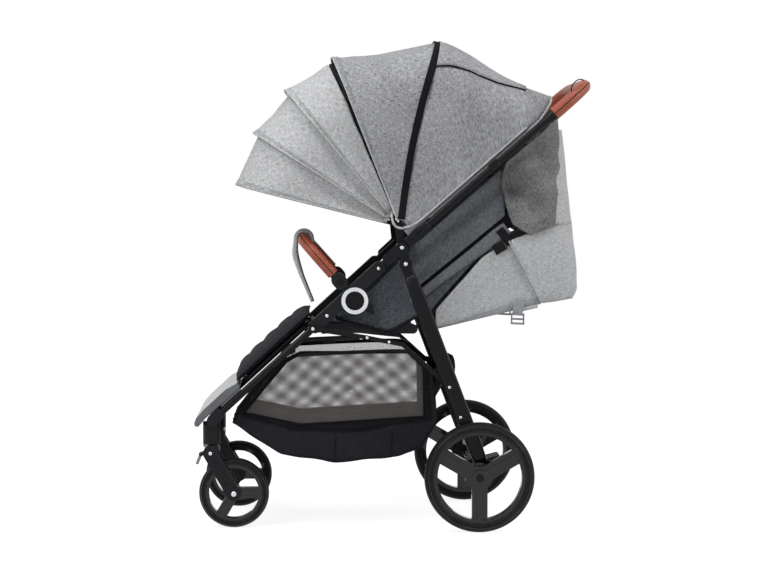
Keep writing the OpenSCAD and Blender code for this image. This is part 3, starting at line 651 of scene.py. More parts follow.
def stitches(name, paths, made, body, spacing=5.0, length=3.2, radius=0.45):
    points, edges = [], []
    for path in paths:
        first = len(points)
        points += [tuple(p) for p in path]
        edges += [(k, k + 1) for k in range(first, len(points) - 1)]
    piece = grow(name, points, edges, STITCHES, {
        "Spacing": spacing / 1000, "Length": length / 1000, "Radius": radius / 1000, "Finish": made})
    return ride(piece, body)


def rivets(name, spots, made, body, radius=4.2, height=0.5, sides=(-1, 1)):
    points = [at(p, s * y) for p, y in spots for s in sides]
    outs = [(0, s, 0) for p, y in spots for s in sides]
    piece = grow(name, points, [], RIVETS, {"Radius": radius / 1000, "Height": height, "Finish": made}, outs)
    for face in piece.data.polygons:
        face.use_smooth = True
    return ride(piece, body)


# Hood: fan of cloth panels over the bows
HOOD_START = 34.0
COVER_START = 14.0
HOOD_BEND = 120.0
HEM_POINTS = 150
FAN_TURNS = (UPPER_TILT, HOOP_ANGLE, 130, 166), (0, 12 / 90, 60 / 90, 1)


def hood_row(angle, reach, out=0.0, dip=0.0, low=0.0, high=1.0, count=64, drop=0.0, bend=HOOD_BEND,
             start=HOOD_START):
    """Points across the hood at one direction, from the left pivot over the top to the right one."""
    flat = HOOD_HALF - bend
    arm = reach - bend
    side = []
    for s in steps(40)[:-1]:
        r = start + (arm - start) * s
        flare = max(0.0, HOOD_START - start) * 1.2 * max(0.0, 1 - (r - start) / 75) ** 2
        side.append((-HOOD_HALF - out - flare + dip * hump(s), r))
    bend += out
    corner = [(-flat - bend * math.cos(a), arm + bend * math.sin(a)) for a in np.radians(np.linspace(0, 90, 14))]
    top = [(y, reach + out + 5 * (1 - (y / flat) ** 2)) for y in np.linspace(-flat, 0, 7)[1:]]
    half = side + corner + top
    line = np.array(half + [(-y, r) for y, r in half[-2::-1]])
    line = along_line(line, 400)[int(low * 399):int(high * 399) + 1]
    line = along_line(line, count)
    share = 1 - np.degrees(np.arcsin(np.clip((line[:, 1] - arm) / bend, 0, 1))) / 120
    a = np.radians(angle) - np.arcsin(np.clip(drop * share / line[:, 1], -1, 1))
    x = CANOPY[0] + line[:, 1] * np.cos(a)
    z = CANOPY[1] + line[:, 1] * np.sin(a)
    return np.stack([x, line[:, 0], z], 1)


def swung(points, arc):
    """Points turned about the hood's pivots by a short arc that changes with their distance."""
    points = np.asarray(points, float)
    out = points.copy()
    dx, dz = points[..., 0] - CANOPY[0], points[..., 2] - CANOPY[1]
    far = np.hypot(dx, dz)
    a = np.arctan2(dz, dx) + arc(points, far) / far
    out[..., 0] = CANOPY[0] + far * np.cos(a)
    out[..., 2] = CANOPY[1] + far * np.sin(a)
    return out


def hood_reach(angle):
    marks = sorted(REACH)
    return float(np.interp(angle, marks, [REACH[m] for m in marks]))


def hood_share(x, z):
    """How far a point of the hood turns with its front edge: bows and cloth close like a fan."""
    angle = np.degrees(np.arctan2(z - CANOPY[1] / 1000, x - CANOPY[0] / 1000))
    angle = np.where(angle < -90, angle + 360, angle)
    return np.interp(angle, *FAN_TURNS)


def fan(piece):
    """Bakes the piece's transform and works out how far each point turns with the hood's front edge; the shares are
    not kept.
    """
    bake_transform(piece)
    co = np.zeros(len(piece.data.vertices) * 3, np.float32)
    piece.data.vertices.foreach_get("co", co)
    co = co.reshape(-1, 3)
    share = hood_share(co[:, 0], co[:, 2]).astype(np.float32)
    return piece


def hood_panel(first, last, dip, under, start=HOOD_START, rows=18):
    """One panel: its front hem stands on the panel before it, its rear edge goes in under the next."""
    grid = []
    for t in steps(rows):
        angle = first + (last - first) * t
        swell = hump(t)
        out = 3.0 * max(0.0, 1 - t / 0.1) ** 2 - under * t ** 2
        reach = hood_reach(angle) - dip * swell - under * 0.7 * t ** 2
        grid.append(hood_row(angle, reach, out, 7 * swell, start=start))
    return ruffle(ruffle(grid, 2.6, 70, first), 1.0, 24, first)


for name, first, last, dip, under, start in (
        ("hood_front", 166, 147.1, 8, 7, HOOD_START), ("hood_second", 147.5, 129.6, 12, 8, HOOD_START),
        ("hood_third", 130, 113.3, 10, 5, HOOD_START), ("hood_main", 111.4, HOOP_ANGLE, 26, 0, COVER_START)):
    grid = hood_panel(first, last, dip, under, start)
    if name == "hood_third":
        wobble = [noise.noise(Vector((j * 0.35, 2.5, 0))) * 2.5 + 3 * math.exp(-((j - 25) / 4) ** 2)
                  for j in range(64)]
        for k in range(-4, 0):
            grid[k] = swung(grid[k], lambda points, far: np.array(wobble) * (k + 5) / 4)
    # The main panel takes the darker hood cloth: painted shade.
    panel = cloth(name, grid, hood_painted_shade_cloth if name == "hood_main" else hood_cloth, 1.4)
    declare_sheet(fan(panel), ["canopy_lip", "canopy_bow", "canopy_hoop"])
    lean = math.radians(first)
    rim = hood_row(first, hood_reach(first), 2.2, count=110, start=start)
    fan(sweep(name + "_hem", rim, round_section(2.0, 8), hood_cloth, (math.sin(lean), 0, -math.cos(lean))))
    points = [p for shift in (1.0, 1.7) for p in hood_row(
        first - shift, hood_reach(first) - shift, 3.2 - shift * 0.5, count=HEM_POINTS, start=start)]
    edges = [(k, k + 1) for k in range(len(points) - 1) if k != HEM_POINTS - 1]
    fan(grow(name + "_stitches", points, edges, STITCHES,
             {"Spacing": 0.005, "Length": 0.0034, "Radius": 0.0006, "Finish": hem_thread}))
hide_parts("canopy_cloth")

# Black vent cloth, seen only in the gap behind the third panel: partly the dark mesh of the zipped vent, partly
# painted shade of the hood's inside.
vent_rows = [hood_row(a, hood_reach(a) - 8, -8) for a in np.linspace(115, 109.5, 8)]
vent = cloth("hood_vent", ruffle(vent_rows, 3, 14, 5), black_cloth, 0.8)
declare_sheet(fan(vent), ["canopy_bow"])
pleat = swung(hood_row(112.2, hood_reach(112.2) - 5, -6, low=0.06, high=0.94, count=150),
              lambda points, far: 5 * np.sin(points[:, 1] / 9 + far / 11) * np.sin(far / 37))
fan(sweep("hood_vent_pleat", pleat, round_section(1.6, 6), charcoal_cloth, (0.9, 0, 0.4)))

SQUASH_REAR = dict(axis=(0.976, 0, -0.216), anchor=(0.015, 0, 0.703), keep=0.12)
SQUASH_FLAP = dict(SQUASH_REAR, anchor=(0.0287, 0, 0.7))


def gathers(piece, slot=None, **squash):
    ride(piece, "chassis", slot=slot)
    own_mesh(piece)
    return piece


TAIL_DROP = 31.0
FLAP_RISE = 0.052


def rear_row(t, out=0.6, low=0.0, high=1.0, count=64):
    angle = HOOP_ANGLE + (UPPER_TILT - HOOP_ANGLE) * t
    reach = hood_reach(angle) - TAIL_DROP * hump(t ** 1.35)
    return hood_row(angle, reach, out, 6 * hump(t), low, high, count, TAIL_DROP * t,
                    HOOD_BEND - 62 * t, COVER_START)


rear_grid = ruffle([rear_row(t, count=80) for t in steps(24)], 2.6, 70, 9)
hood_rear = cloth("hood_rear", ruffle(rear_grid, 1.0, 25, 4), hood_painted_shade_cloth, 1.4)
gathers(hood_rear, "canopy_cloth", **SQUASH_REAR)
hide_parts("canopy_rear")
declare_sheet(hood_rear, ["canopy_hoop"])
flap_rows = []
for t in np.linspace(0.015, 0.8, 14):
    low = 0.314 + FLAP_RISE * t + 0.003 * math.sin(9 * t)
    flap_rows.append(rear_row(t, 4.6, low, 1 - low, 40))
hood_flap = cloth("hood_flap", ruffle(flap_rows, 1.6, 70, 3), hood_painted_shade_cloth, 1.2)
declare_sheet(gathers(hood_flap, "canopy_cloth", **SQUASH_FLAP), ["hood_rear"])
# Black cords just under the flap's side edges: painted shadow of the flap's overhang.
for (side, s), column in zip(SIDES.items(), (0, -1)):
    slit = [row[column] + np.array((0, s * 0.6, -1.6)) for row in flap_rows]
    edge = sweep("hood_flap_edge_" + side, slit, round_section(1.5, 8), black_cloth, (0.6, 0, 0.8))
    gathers(edge, **SQUASH_FLAP)
tail_line = rear_row(1.0, 0.8, low=0.05, high=0.95, count=140)
gathers(sweep("hood_tail_edge", tail_line, round_section(2.6, 8), hood_cloth, (0.68, 0, -0.73)), **SQUASH_REAR)
for side, s in SIDES.items():
    tape = [at(upper_at(d, 8.5), s * 212.0) for d in np.linspace(60, 400, 20)]
    gathers(sweep("hood_tape_" + side, tape, flat_section(13, 1.6), black_cloth), **SQUASH_REAR)
    round_end = [at((x, z), s * y) for x, z, y in (
        (-4, 730, 227), (-1, 713, 236), (6, 702, 238), (18, 698, 238), (34, 701, 237), (50, 708, 233))]
    round_end += [at(upper_at(66, 20), s * 226)] + [at(upper_at(d, 18), s * 217) for d in (100, 170, 250, 330, 400)]
    piping = sweep("hood_piping_" + side, curve(round_end, 90), round_section(2.8, 8), hood_cloth)
    gathers(piping, **SQUASH_REAR)

band_path = hood_row(HOOP_ANGLE, hood_reach(HOOP_ANGLE), 3.0, low=0.004, high=0.996, count=140, start=COVER_START)
band_path = swung(band_path, lambda points, far: 11 * np.sin(math.pi * np.clip((far - 20) / 416, 0, 1)))
middle = at(CANOPY + turned((180, 0), HOOP_ANGLE), 0)
hood_band = sweep("hood_band", band_path, flat_section(17, 2.6), band_webbing, band_path - middle)
ride(hood_band, "canopy_hoop")
for side, s in SIDES.items():
    arc = [at(CANOPY + turned((HOOD_START, 0), a), s * (HOOD_HALF + 0.5)) for a in np.linspace(166, 112, 30)]
    fan(sweep("hood_hem_" + side, arc, flat_section(9, 3), hood_cloth))

# Rear curtain below the hood, and the pale sling behind the seat
SKIRT_LOW = [(252, 808), (259, 762), (280, 707), (317, 683), (384, 713)]


def skirt_roof(x):
    return FOLD[1] + (x - FOLD[0]) * math.tan(math.radians(UPPER_TILT)) - 16


SKIRT_HALF = 194.0
SKIRT_FRONT = 262
SKIRT_DEPTH = 122
skirt_path = [(x, -1.0) for x in np.linspace(SKIRT_FRONT, 334, 26)]
skirt_path += [(334 + 50 * math.sin(a), -1 + 0.26 * (1 - math.cos(a))) for a in np.linspace(0.1, math.pi / 2, 14)]
skirt_path += [(384, y) for y in np.linspace(-0.74, 0, 16)[1:]]
skirt_path += [(x, -y) for x, y in skirt_path[-2::-1]]
skirt_grid = []
for t in steps(44):
    row = []
    for x, y in skirt_path:
        floor_z = float(np.interp(x, *zip(*SKIRT_LOW)))
        roof = skirt_roof(x)
        z = roof + (floor_z - roof) * t
        flare = (213.0 - SKIRT_HALF) * (1 - t) ** 3
        side = min(1.0, max(0.0, (abs(y) - 0.93) / 0.07))
        back = x - SKIRT_FRONT
        run = (z - 720) * 0.62 + back * 0.78
        fold = 13 * math.sin(run / 15 + 0.4) + 6 * math.sin((z - 0.5 * x) / 12 + 1.2)
        wave = fold * hump(min(1, 0.08 + t)) * side + 2.5 * t * math.sin(x * 0.11)
        bulge = hump(t)
        lean = 20 * t * min(1.0, back / SKIRT_DEPTH) ** 2 - 9 * bulge * max(0.0, 1 - back / SKIRT_DEPTH)
        tuck = 14 * max(0.0, 1 - back / 60) * bulge
        row.append((x + lean, y * (SKIRT_HALF + flare + wave - tuck), z))
    skirt_grid.append(row)
skirt = cloth("rear_curtain", ruffle(skirt_grid, 3, 40, 21), curtain_cloth, 1.6)
SQUASH_TUBE = dict(axis=turned_up(UPPER_TILT), anchor=(FOLD[0] / 1000, 0, FOLD[1] / 1000 - 0.012), keep=0.1)


def on_handle(piece, slot=None):
    ride(piece, "upper_frame", slot=slot)
    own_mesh(piece)
    return piece


on_handle(skirt, "skirt_cloth")
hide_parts("canopy_skirt")
declare_sheet(skirt, ["upper_tube_left", "upper_tube_right"])
hem = np.array([np.array(v.co) * 1000 for v in skirt.data.vertices[-len(skirt_path):]])
on_handle(sweep("rear_curtain_hem", hem, round_section(2.2, 8), curtain_cloth, UPWARD))

SLING_HALF = 187.0
SLING_TAB = [(297, 528), (293, 512), (290, 497)]
BACK_TILT = 50
BACK_AXIS = (math.sin(math.radians(BACK_TILT)), 0, -math.cos(math.radians(BACK_TILT)))
SQUASH_BACK = dict(axis=BACK_AXIS, anchor=(0.0587, 0, 0.453), keep=0.1)


def sling_floor(x):
    return float(np.interp(x, (104, 225, 347, 440), (465, 494, 523, 533)))


def sling_top(x):
    return float(np.interp(x, (101, 209, 262, 330, 402), (507, 629, 664, 690, 712)))


def sling_spot(x, y, t, half):
    low = sling_floor(x)
    inset = 13 * max(0.0, 1 - t / 0.16) ** 2
    z = low + (sling_top(x) - low) * t
    return (x - inset * (abs(y) < 0.95), y * (half - inset * 0.6), z)


def sling_seam(t):
    return 346 - 76 * t


for side, s in SIDES.items():
    rows = [[sling_spot(x, s * 1.0, t, SLING_HALF - 1.6 - 4 * hump(k) * hump(t))
             for k, x in ((k, 101 + (sling_seam(t) + 22 - 101) * k) for k in steps(30))]
            for t in steps(20)]
    piece = cloth("sling_side_" + side, ruffle(rows, 4, 70, 31 + s), pale_cloth, 1.2, flip=s > 0)
    declare_sheet(gathers(piece, "pale_cloth", **SQUASH_BACK), ["recline_strap"])
    buckle_y = s * (SLING_HALF + 1)
    parts = [
        ("sling_seam_" + side, [sling_spot(sling_seam(t), s * 1.0, t, SLING_HALF + 1.5) for t in steps(24)],
         round_section(1.8, 6), pale_cloth),
        ("sling_binding_" + side, [(x, s * (SLING_HALF - 6), sling_floor(x) + 6) for x in np.linspace(106, 344, 26)],
         flat_section(17, 2.4), board_cloth),
        ("sling_tab_" + side, [at(p, s * (SLING_HALF + 1.5)) for p in along_line(SLING_TAB, 8)],
         flat_section(24, 2), board_cloth),
        ("sling_strap_" + side, [(x, s * (SLING_HALF - 2), sling_floor(x) - 5) for x in np.linspace(296, 338, 10)],
         flat_section(9, 2.4), pale_cloth)]
    parts += [(f"sling_buckle_{side}_{k}", [(276 + x, buckle_y, z - x * 0.05) for x in np.linspace(0, 30, 6)],
               box_section(5, 4, 1.4), lever_grey) for k, z in enumerate((497, 486.5, 476))]
    parts += [(f"sling_buckle_end_{side}_{k}", [(x, buckle_y, z) for z in np.linspace(499, 474, 6)],
               box_section(4, 4, 1.4), lever_grey) for k, x in enumerate((277, 305))]
    for part in parts:
        gathers(sweep(*part), **SQUASH_BACK)


def wrap_path(front, back, radius, share=0.36):
    """Line from one side round the back to the other: distance behind the middle, and part of the half width."""
    side = [(x, -1.0) for x in np.linspace(front, back - radius, 14)]
    bend = [(back - radius + radius * math.sin(a), -1 + share * (1 - math.cos(a)))
            for a in np.linspace(0.12, math.pi / 2, 12)]
    rear = [(back, y) for y in np.linspace(share - 1, 0, 12)[1:]]
    half = side + bend + rear
    return half + [(x, -y) for x, y in half[-2::-1]]


rows = [[sling_spot(x, y, t, SLING_HALF + 0.5) for x, y in wrap_path(sling_seam(t), 441 - 17 * t, 68)]
        for t in steps(24)]
sling = cloth("sling_wrap", ruffle(rows, 3.5, 75, 44), pale_cloth, 1.2)
gathers(sling, "pale_cloth", **SQUASH_BACK)
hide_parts("recline_sling")
declare_sheet(sling, ["sling_side_left", "sling_side_right"])
rows = []
for x in np.linspace(102, 428, 40):
    edge = (SLING_HALF - 10) * (1 - 0.3 * max(0.0, (x - 372) / 56) ** 2)
    rows.append([(x, v * edge, sling_floor(x) - 3 * arch(v)) for v in np.linspace(-1, 1, 34)])
base = cloth("sling_floor", ruffle(rows, 3, 80, 47), pale_cloth, 1.2, flip=True)
declare_sheet(gathers(base, "pale_cloth", **SQUASH_BACK), ["sling_side_left", "sling_side_right"])
rows = [[(x, y * (SLING_HALF - 2), 706 + (min(926, skirt_roof(x) - 6) - 706) * t)
         for x, y in wrap_path(352, 424 - 26 * t, 50)] for t in steps(26)]
wall = cloth("sling_wall", ruffle(rows, 3.5, 70, 53), pale_cloth, 1.2)
declare_sheet(on_handle(wall, "pale_cloth"), ["upper_tube_left", "upper_tube_right"])

# Seat: cloth sides and pads
SEAT_TOP = [front_at(205, -22), front_at(110, -24), front_at(0, -18), upper_at(30, -16)]
SEAT_LOW = [(-128, 486), (-66, 471), (-7, 458), (52, 488), (82, 497)]
WING_TOP = [upper_at(12, -16), upper_at(150, -16), upper_at(300, -16)]
WING_LOW = [(36, 543), (87, 584), (168, 650), (262, 727)]
for side, s in SIDES.items():
    top, low = curve(SEAT_TOP, 40), along_line(SEAT_LOW, 40)
    rows = [[at(low[k] + (top[k] - low[k]) * t, s * (LINER_OUT - 0.5 - 4.5 * hump(t)
             * (1 + 0.5 * math.sin(0.5 * k + 3 * t)))) for k in range(40)] for t in steps(20)]
    piece = cloth("seat_side_" + side, ruffle(rows, 2, 50, 61 + s), seat_cloth, 2.0, flip=s > 0)
    ride(piece, "chassis", slot="seat_cloth")
    if s < 0:
        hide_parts("seat_sides")
    declare_sheet(piece, ["seat_base"])
    edge = [at(p, s * (LINER_OUT - 0.5)) for p in curve([front_at(215, -20), *SEAT_LOW], 60)]
    ride(sweep("seat_piping_" + side, edge, box_section(5, 12, 2), black_cloth), "chassis")
    top, low = along_line(WING_TOP, 46), along_line(WING_LOW, 46)
    rows = [[at(low[k] + (top[k] - low[k]) * t,
                s * (LINER_OUT - 1.0 - 9 * (0.5 + 0.5 * math.sin(9 * t + 0.04 * k)) * hump(t)))
             for k in range(46)] for t in steps(26)]
    piece = cloth("back_wing_" + side, ruffle(rows, 3, 70, 71 + s), wing_cloth, 2.0, flip=s > 0)
    ride(piece, "chassis", slot="back_cloth")
    declare_sheet(piece, ["seat_base"])


FILL_RISE = 5.0
FILL_FRAMES = 20


def filled(piece, sewn):
    """Swells a pad with a short cloth simulation, held along its rim, channels and underside."""
    group = piece.vertex_groups.new(name="sewn")
    group.add(sewn, 1.0, "REPLACE")
    start = np.array([v.co for v in piece.data.vertices])
    filling = piece.modifiers.new("filling", "CLOTH")
    cover = filling.settings
    cover.quality = 6
    cover.use_pressure = True
    cover.uniform_pressure_force = 40
    cover.mass = 0.1
    cover.tension_stiffness = cover.compression_stiffness = cover.shear_stiffness = 5
    cover.vertex_group_mass = "sewn"
    cover.effector_weights.gravity = 0
    filling.point_cache.frame_start, filling.point_cache.frame_end = 1, FILL_FRAMES
    for frame_number in range(1, FILL_FRAMES + 1):
        scene.frame_set(frame_number)
    settled = piece.evaluated_get(bpy.context.evaluated_depsgraph_get())
    shift = np.array([v.co for v in settled.data.vertices]) - start
    piece.modifiers.remove(filling)
    piece.vertex_groups.remove(group)
    scene.frame_set(1)
    far = np.linalg.norm(shift, axis=1, keepdims=True)
    cap = FILL_RISE / 1000
    shift *= cap * np.tanh(far / cap) / np.maximum(far, 1e-9)
    piece.data.vertices.foreach_set("co", (start + shift).ravel())
    piece.data.update()


def cushion(name, start, tilt, length, half, thick, channels, groove, made, pull=5.0, rows=64, cols=44):
    """Crowned pad on a sloping board, drawn in along its sides and sewn across in channels."""
    lines = [2 * k / channels - 1 for k in range(1, channels)]

    def swell(u, v):
        crown = (1 - abs(u) ** 5) ** 0.5 * (1 - abs(v) ** 5) ** 0.5
        sewn = 1 - groove * sum(math.exp(-((u - line) * length / 2 / 7.0) ** 2) for line in lines)
        puff = 1 + 0.06 * math.cos(v * 2.4) * math.cos(u * channels * math.pi)
        return crown * sewn * puff

    def spot(u, v, n):
        in_u = 1 - pull * (1 - v * v) / length
        in_v = 1 - pull * (1 - u * u) / half
        p = np.asarray(start) + turned(((u * in_u + 1) / 2 * length, n), tilt)
        return at(p, v * half * in_v)

    us = np.sin(np.linspace(-math.pi / 2, math.pi / 2, rows) * 0.985)
    vs = np.sin(np.linspace(-math.pi / 2, math.pi / 2, cols) * 0.985)
    edge = thick * 0.32
    thick -= FILL_RISE
    top = np.array([[spot(u, v, edge + (thick - edge) * swell(u, v)) for v in vs] for u in us])
    top = ruffle(top, 1.6, 26, len(name))
    low = np.array([[spot(u, v, edge * 0.7 * (1 - swell(u, v)) * (abs(u) > 0.8 or abs(v) > 0.8)) for v in vs]
                    for u in us])
    count = rows * cols
    faces = grid_faces(rows, cols)
    faces += [tuple(count + i for i in f[::-1]) for f in grid_faces(rows, cols)]
    rim = ([(0, j) for j in range(cols)] + [(i, cols - 1) for i in range(1, rows)]
           + [(rows - 1, j) for j in range(cols - 2, -1, -1)] + [(i, 0) for i in range(rows - 2, 0, -1)])
    ids = [i * cols + j for i, j in rim]
    for a, b in zip(ids, ids[1:] + ids[:1]):
        faces.append((a, b, count + b, count + a))
    uv = lengths(top)
    piece = outward(new_piece(name, np.vstack([top.reshape(-1, 3), low.reshape(-1, 3)]), faces, made,
                              np.vstack([uv, uv])))
    seam_rows = [int(np.argmin(abs(us - line))) for line in lines]
    filled(piece, [*range(count, 2 * count), *ids, *(i * cols + j for i in seam_rows for j in range(cols))])
    path = np.array([(top[i, j] * 0.55 + low[i, j] * 0.45) for i, j in rim])
    welt = sweep(name + "_welt", path, round_section(2.0, 8), black_cloth, turned_up(tilt), True)
    return piece, welt, [top[i, 3:cols - 3] for i in seam_rows]


back_foot = np.array((48, 462)) + turned((22, 0.3), BACK_TILT)
for name, sizes, made, thread, body, node, slot in (
        ("seat_cushion", ((-160, 470.3), -6.5, 176, 162, 30, 3, 0.3), seat_cloth, grey_thread,
         "chassis", "seat_pad", "seat_cloth"),
        ("back_cushion", (back_foot, BACK_TILT, 350, 162, 38, 4, 0.3), wing_cloth, grey_thread,
         "backrest", "backrest_pad", "back_cloth"),
        ("leg_cushion", (front_at(491, 20), FRONT_TILT, 229, 160, 35, 5, 0.16), charcoal_cloth, dark_thread,
         "leg_rest", "leg_rest", "leg_cloth")):
    pad, welt, seams = cushion(name, *sizes, made)
    ride(pad, body, node, slot=slot)
    ride(welt, body)
    stitches(name + "_stitches", seams, thread, body, 6, 4, 0.5)

# Leg rest's board and the two arms that hang it from the seat's cross tube
knee = front_at(278)
for side, s in SIDES.items():
    arm = [at(p, s * 112) for p in (knee + turned((0, 2), FRONT_TILT), front_at(288, 14), front_at(330, 13))]
    ride(sweep("leg_rest_arm_" + side, curve(arm, 12), box_section(22, 6, 2), board_black, UPWARD), "leg_rest")
board = [at(front_at(d, 15), 0) for d in (478, 380, 290)]
ride(sweep("leg_rest_board", curve(board, 10), box_section(296, 7, 3), board_black, UPWARD), "leg_rest")

# Straps beside the backrest
STRAP = [(44, 524), (87, 560), (188, 638), (240, 678), (266, 699)]
for side, s in SIDES.items():
    path = curve([at(p, s * 184.8) for p in STRAP], 34)
    widths = np.interp(steps(34), (0, 0.3, 0.7, 0.9, 1), (19, 21, 27, 32, 28))
    strap = sweep("recline_strap_" + side, path, [flat_section(w, 2.2) for w in widths], strap_cloth)
    ride(strap, "chassis", slot="strap_cloth")
    "seat_side_" + side
    if s < 0:
        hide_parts("recline_strap")
    edge = [p + np.array((0.62, 0, -0.78)) * w / 2 + np.array((0, s * 0.6, 0)) for p, w in zip(path, widths)]
    ride(sweep("recline_piping_" + side, edge, round_section(1.6, 6), seat_cloth), "chassis")
    # Dark sheet between the strap's lower edge and the sling's front edge: painted shadow under the strap.
    upper = along_line([(56, 518), (87, 549), (188, 622), (200, 634)], 20)
    lower = along_line([(84, 500), (120, 542), (200, 632)], 20)
    rows = [[at(a + (b - a) * t, s * 182.8) for a, b in zip(upper, lower)] for t in steps(5)]
    shadow_sheet = cloth("recline_gusset_" + side, rows, seat_cloth, 1.0, flip=s < 0)
    declare_sheet(ride(shadow_sheet, "chassis"), ["recline_strap_" + side])
    # Black strip along the deep fold between the back wing and the strap: painted shadow.
    gap = curve([at(p, s * 176) for p in ((30, 528), (87, 576), (168, 643), (290, 728))], 20)
    gap_width = np.interp(steps(20), (0, 0.75, 1), (16, 18, 40))
    tab = curve([at((248, 694), s * 186.6), at((262, 676), s * 187.6), at((264, 656), s * 188.4)], 12)
    buckle = along_line([at((262, 660), s * 188.8), at((236, 644), s * 188.8)], 6)
    for name, path, section, made in (
            ("back_gap_", gap, [flat_section(w, 1.2) for w in gap_width], black_cloth),
            ("recline_tab_", tab, flat_section(20, 1.8), black_webbing),
            ("recline_buckle_", buckle, box_section(24, 7, 3), gloss_black)):
        ride(sweep(name + side, path, section, made), "chassis")

# Basket: net windows in a black border, charcoal base and rims
BASKET_HALF = 184.0
BASKET_OUT = np.array([(-372, 246), (-262, 172), (-136, 152), (18, 166), (70, 186), (104, 250), (92, 372), (44, 412),
                       (-214, 412), (-252, 394)], float)
BASKET_WINDOW = np.array([(-344, 268), (-214, 241), (74, 258), (72, 372), (36, 407), (-208, 407), (-246, 386)], float)
BASKET_MIDDLE = np.array((-95.0, 318.0))


def in_basket(piece, *replaced, slot=None, **squash):
    """Rides a piece of the basket's cloth on the chassis, with a mesh of its own."""
    ride(piece, "chassis", *replaced, slot=slot)
    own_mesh(piece)
    return piece


def around(outline, count):
    """Points where rays from the basket's middle meet an outline."""
    points = []
    for a in np.linspace(0, 2 * math.pi, count, endpoint=False):
        ray = np.array((math.cos(a), math.sin(a)))
        best = 0.0
        for p, q in zip(outline, np.roll(outline, -1, 0)):
            e = q - p
            cross = ray[0] * e[1] - ray[1] * e[0]
            if abs(cross) < 1e-9:
                continue
            r = p - BASKET_MIDDLE
            far = (r[0] * e[1] - r[1] * e[0]) / cross
            share = (r[0] * ray[1] - r[1] * ray[0]) / cross
            if far > 0 and -1e-9 <= share <= 1 + 1e-9:
                best = max(best, far)
        points.append(BASKET_MIDDLE + ray * best)
    return np.array(points)


def basket_y(p):
    low = np.clip((420 - p[1]) / 270, 0, 1)
    return BASKET_HALF - 9 * hump(low) * (0.6 + 0.4 * math.sin(p[0] / 60)) - 16 * max(0.0, low - 0.72)


def closed(rows):
    """Rows that go right round, with their first points again at their ends."""
    grid = np.array(rows)
    return np.concatenate([grid, grid[:, :1]], 1)


RAYS = 220
outer, window = around(BASKET_OUT, RAYS), around(BASKET_WINDOW, RAYS)
border = window + (outer - window) * np.clip(22 / np.linalg.norm(outer - window, axis=1), 0, 0.6)[:, None]
for side, s in SIDES.items():
    for name, first, last, made, step in (("basket_border_", window, border, black_cloth, 5),
                                          ("basket_side_", border, outer, basket_cloth, 9)):
        grid = closed([[at(p, s * basket_y(p)) for p in first + (last - first) * t] for t in steps(step)])
        piece = cloth(name + side, ruffle(grid, 2.2, 40, 81 + s), made, 1.4, flip=s < 0)
        in_basket(piece, slot="basket_cloth")
        declare_sheet(piece, ["front_leg_left", "front_leg_right"])
    grid = closed([[at(p, s * (basket_y(p) - 0.6)) for p in BASKET_MIDDLE + (window - BASKET_MIDDLE) * t]
                   for t in np.linspace(0.02, 1.02, 20)])
    piece = cloth("basket_net_" + side, grid, net, 0.4, flip=s < 0)
    in_basket(piece, slot="net")
    if s < 0:
        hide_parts("basket_net")
    declare_sheet(piece, ["basket_border_" + side])
    for name, line, size in (("basket_welt_", window, 1.6), ("basket_seam_", border, 1.2)):
        path = [at(p, s * (basket_y(p) + 0.8)) for p in line]
        in_basket(sweep(name + side, path, round_section(size, 6), black_cloth, ring=True))
WIDTH = np.linspace(-1, 1, 30)
floor_line = along_line([*BASKET_OUT[:6], (98, 330)], 60)
rows = [[at(p - (0, 7 * arch(v) * hump(min(1, k / 48))), v * basket_y(p)) for v in WIDTH]
        for k, p in enumerate(floor_line)]
tub = cloth("basket_floor", ruffle(rows, 3, 45, 91), basket_cloth, 1.6, flip=True)
in_basket(tub, "basket_tub", slot="basket_cloth")
declare_sheet(tub, ["basket_side_left", "basket_side_right"])
front_line = along_line([(-372, 246), (-330, 299), (-252, 394), (-226, 408)], 26)
rows = [[at(p + (6 * arch(v) * math.sin(math.pi * k / 25), 0), v * basket_y(p)) for v in WIDTH]
        for k, p in enumerate(front_line)]
front = cloth("basket_front", ruffle(rows, 3, 45, 97), black_cloth, 1.4)
in_basket(front, slot="basket_cloth", axis=(0.67, 0, 0.743), anchor=(-0.226, 0, 0.408), keep=0.42)
declare_sheet(front, ["basket_side_left", "basket_side_right"])
hem_path, hem_sections = [], []
for v in np.linspace(-1, 1, 120):
    out = arch(v) ** 0.5
    hem_path.append((100 + 48 * out, v * 178, 352 + 12 * out))
    pinch = 1 + 0.22 * math.sin(v * 95) + 0.1 * math.sin(v * 41 + 1)
    hem_sections.append(round_section(pinch, 12) * (7, 20))
in_basket(sweep("basket_gathered_hem", hem_path, hem_sections, black_cloth, UPWARD))
rows = [[np.array(p) * (1 - t) + np.array((99, p[1], 300)) * t + np.array((0, 0, -8 * hump(t)))
         for p in hem_path[::3]] for t in steps(10)]
apron = cloth("basket_rear", ruffle(rows, 5, 30, 95), black_cloth, 1.2)
in_basket(apron, slot="basket_cloth")
declare_sheet(apron, ["basket_gathered_hem"])
for side, s in SIDES.items():
    for name, y, points, section, made in (
            ("basket_rim_", 181, curve([(-222, 402), (-100, 408), (18, 411), (52, 404)], 30), round_section(4.5),
             frame_paint),
            ("seat_rail_", 176, curve([(-206, 438), (-140, 441), (-76, 443)], 20), round_section(5), frame_paint),
            ("seat_rail_tab_", 178, along_line([(-164, 434), (-134, 436)], 6), box_section(14, 5, 2), black_webbing)):
        ride(sweep(name + side, [at(p, s * y) for p in points], section, made), "chassis")

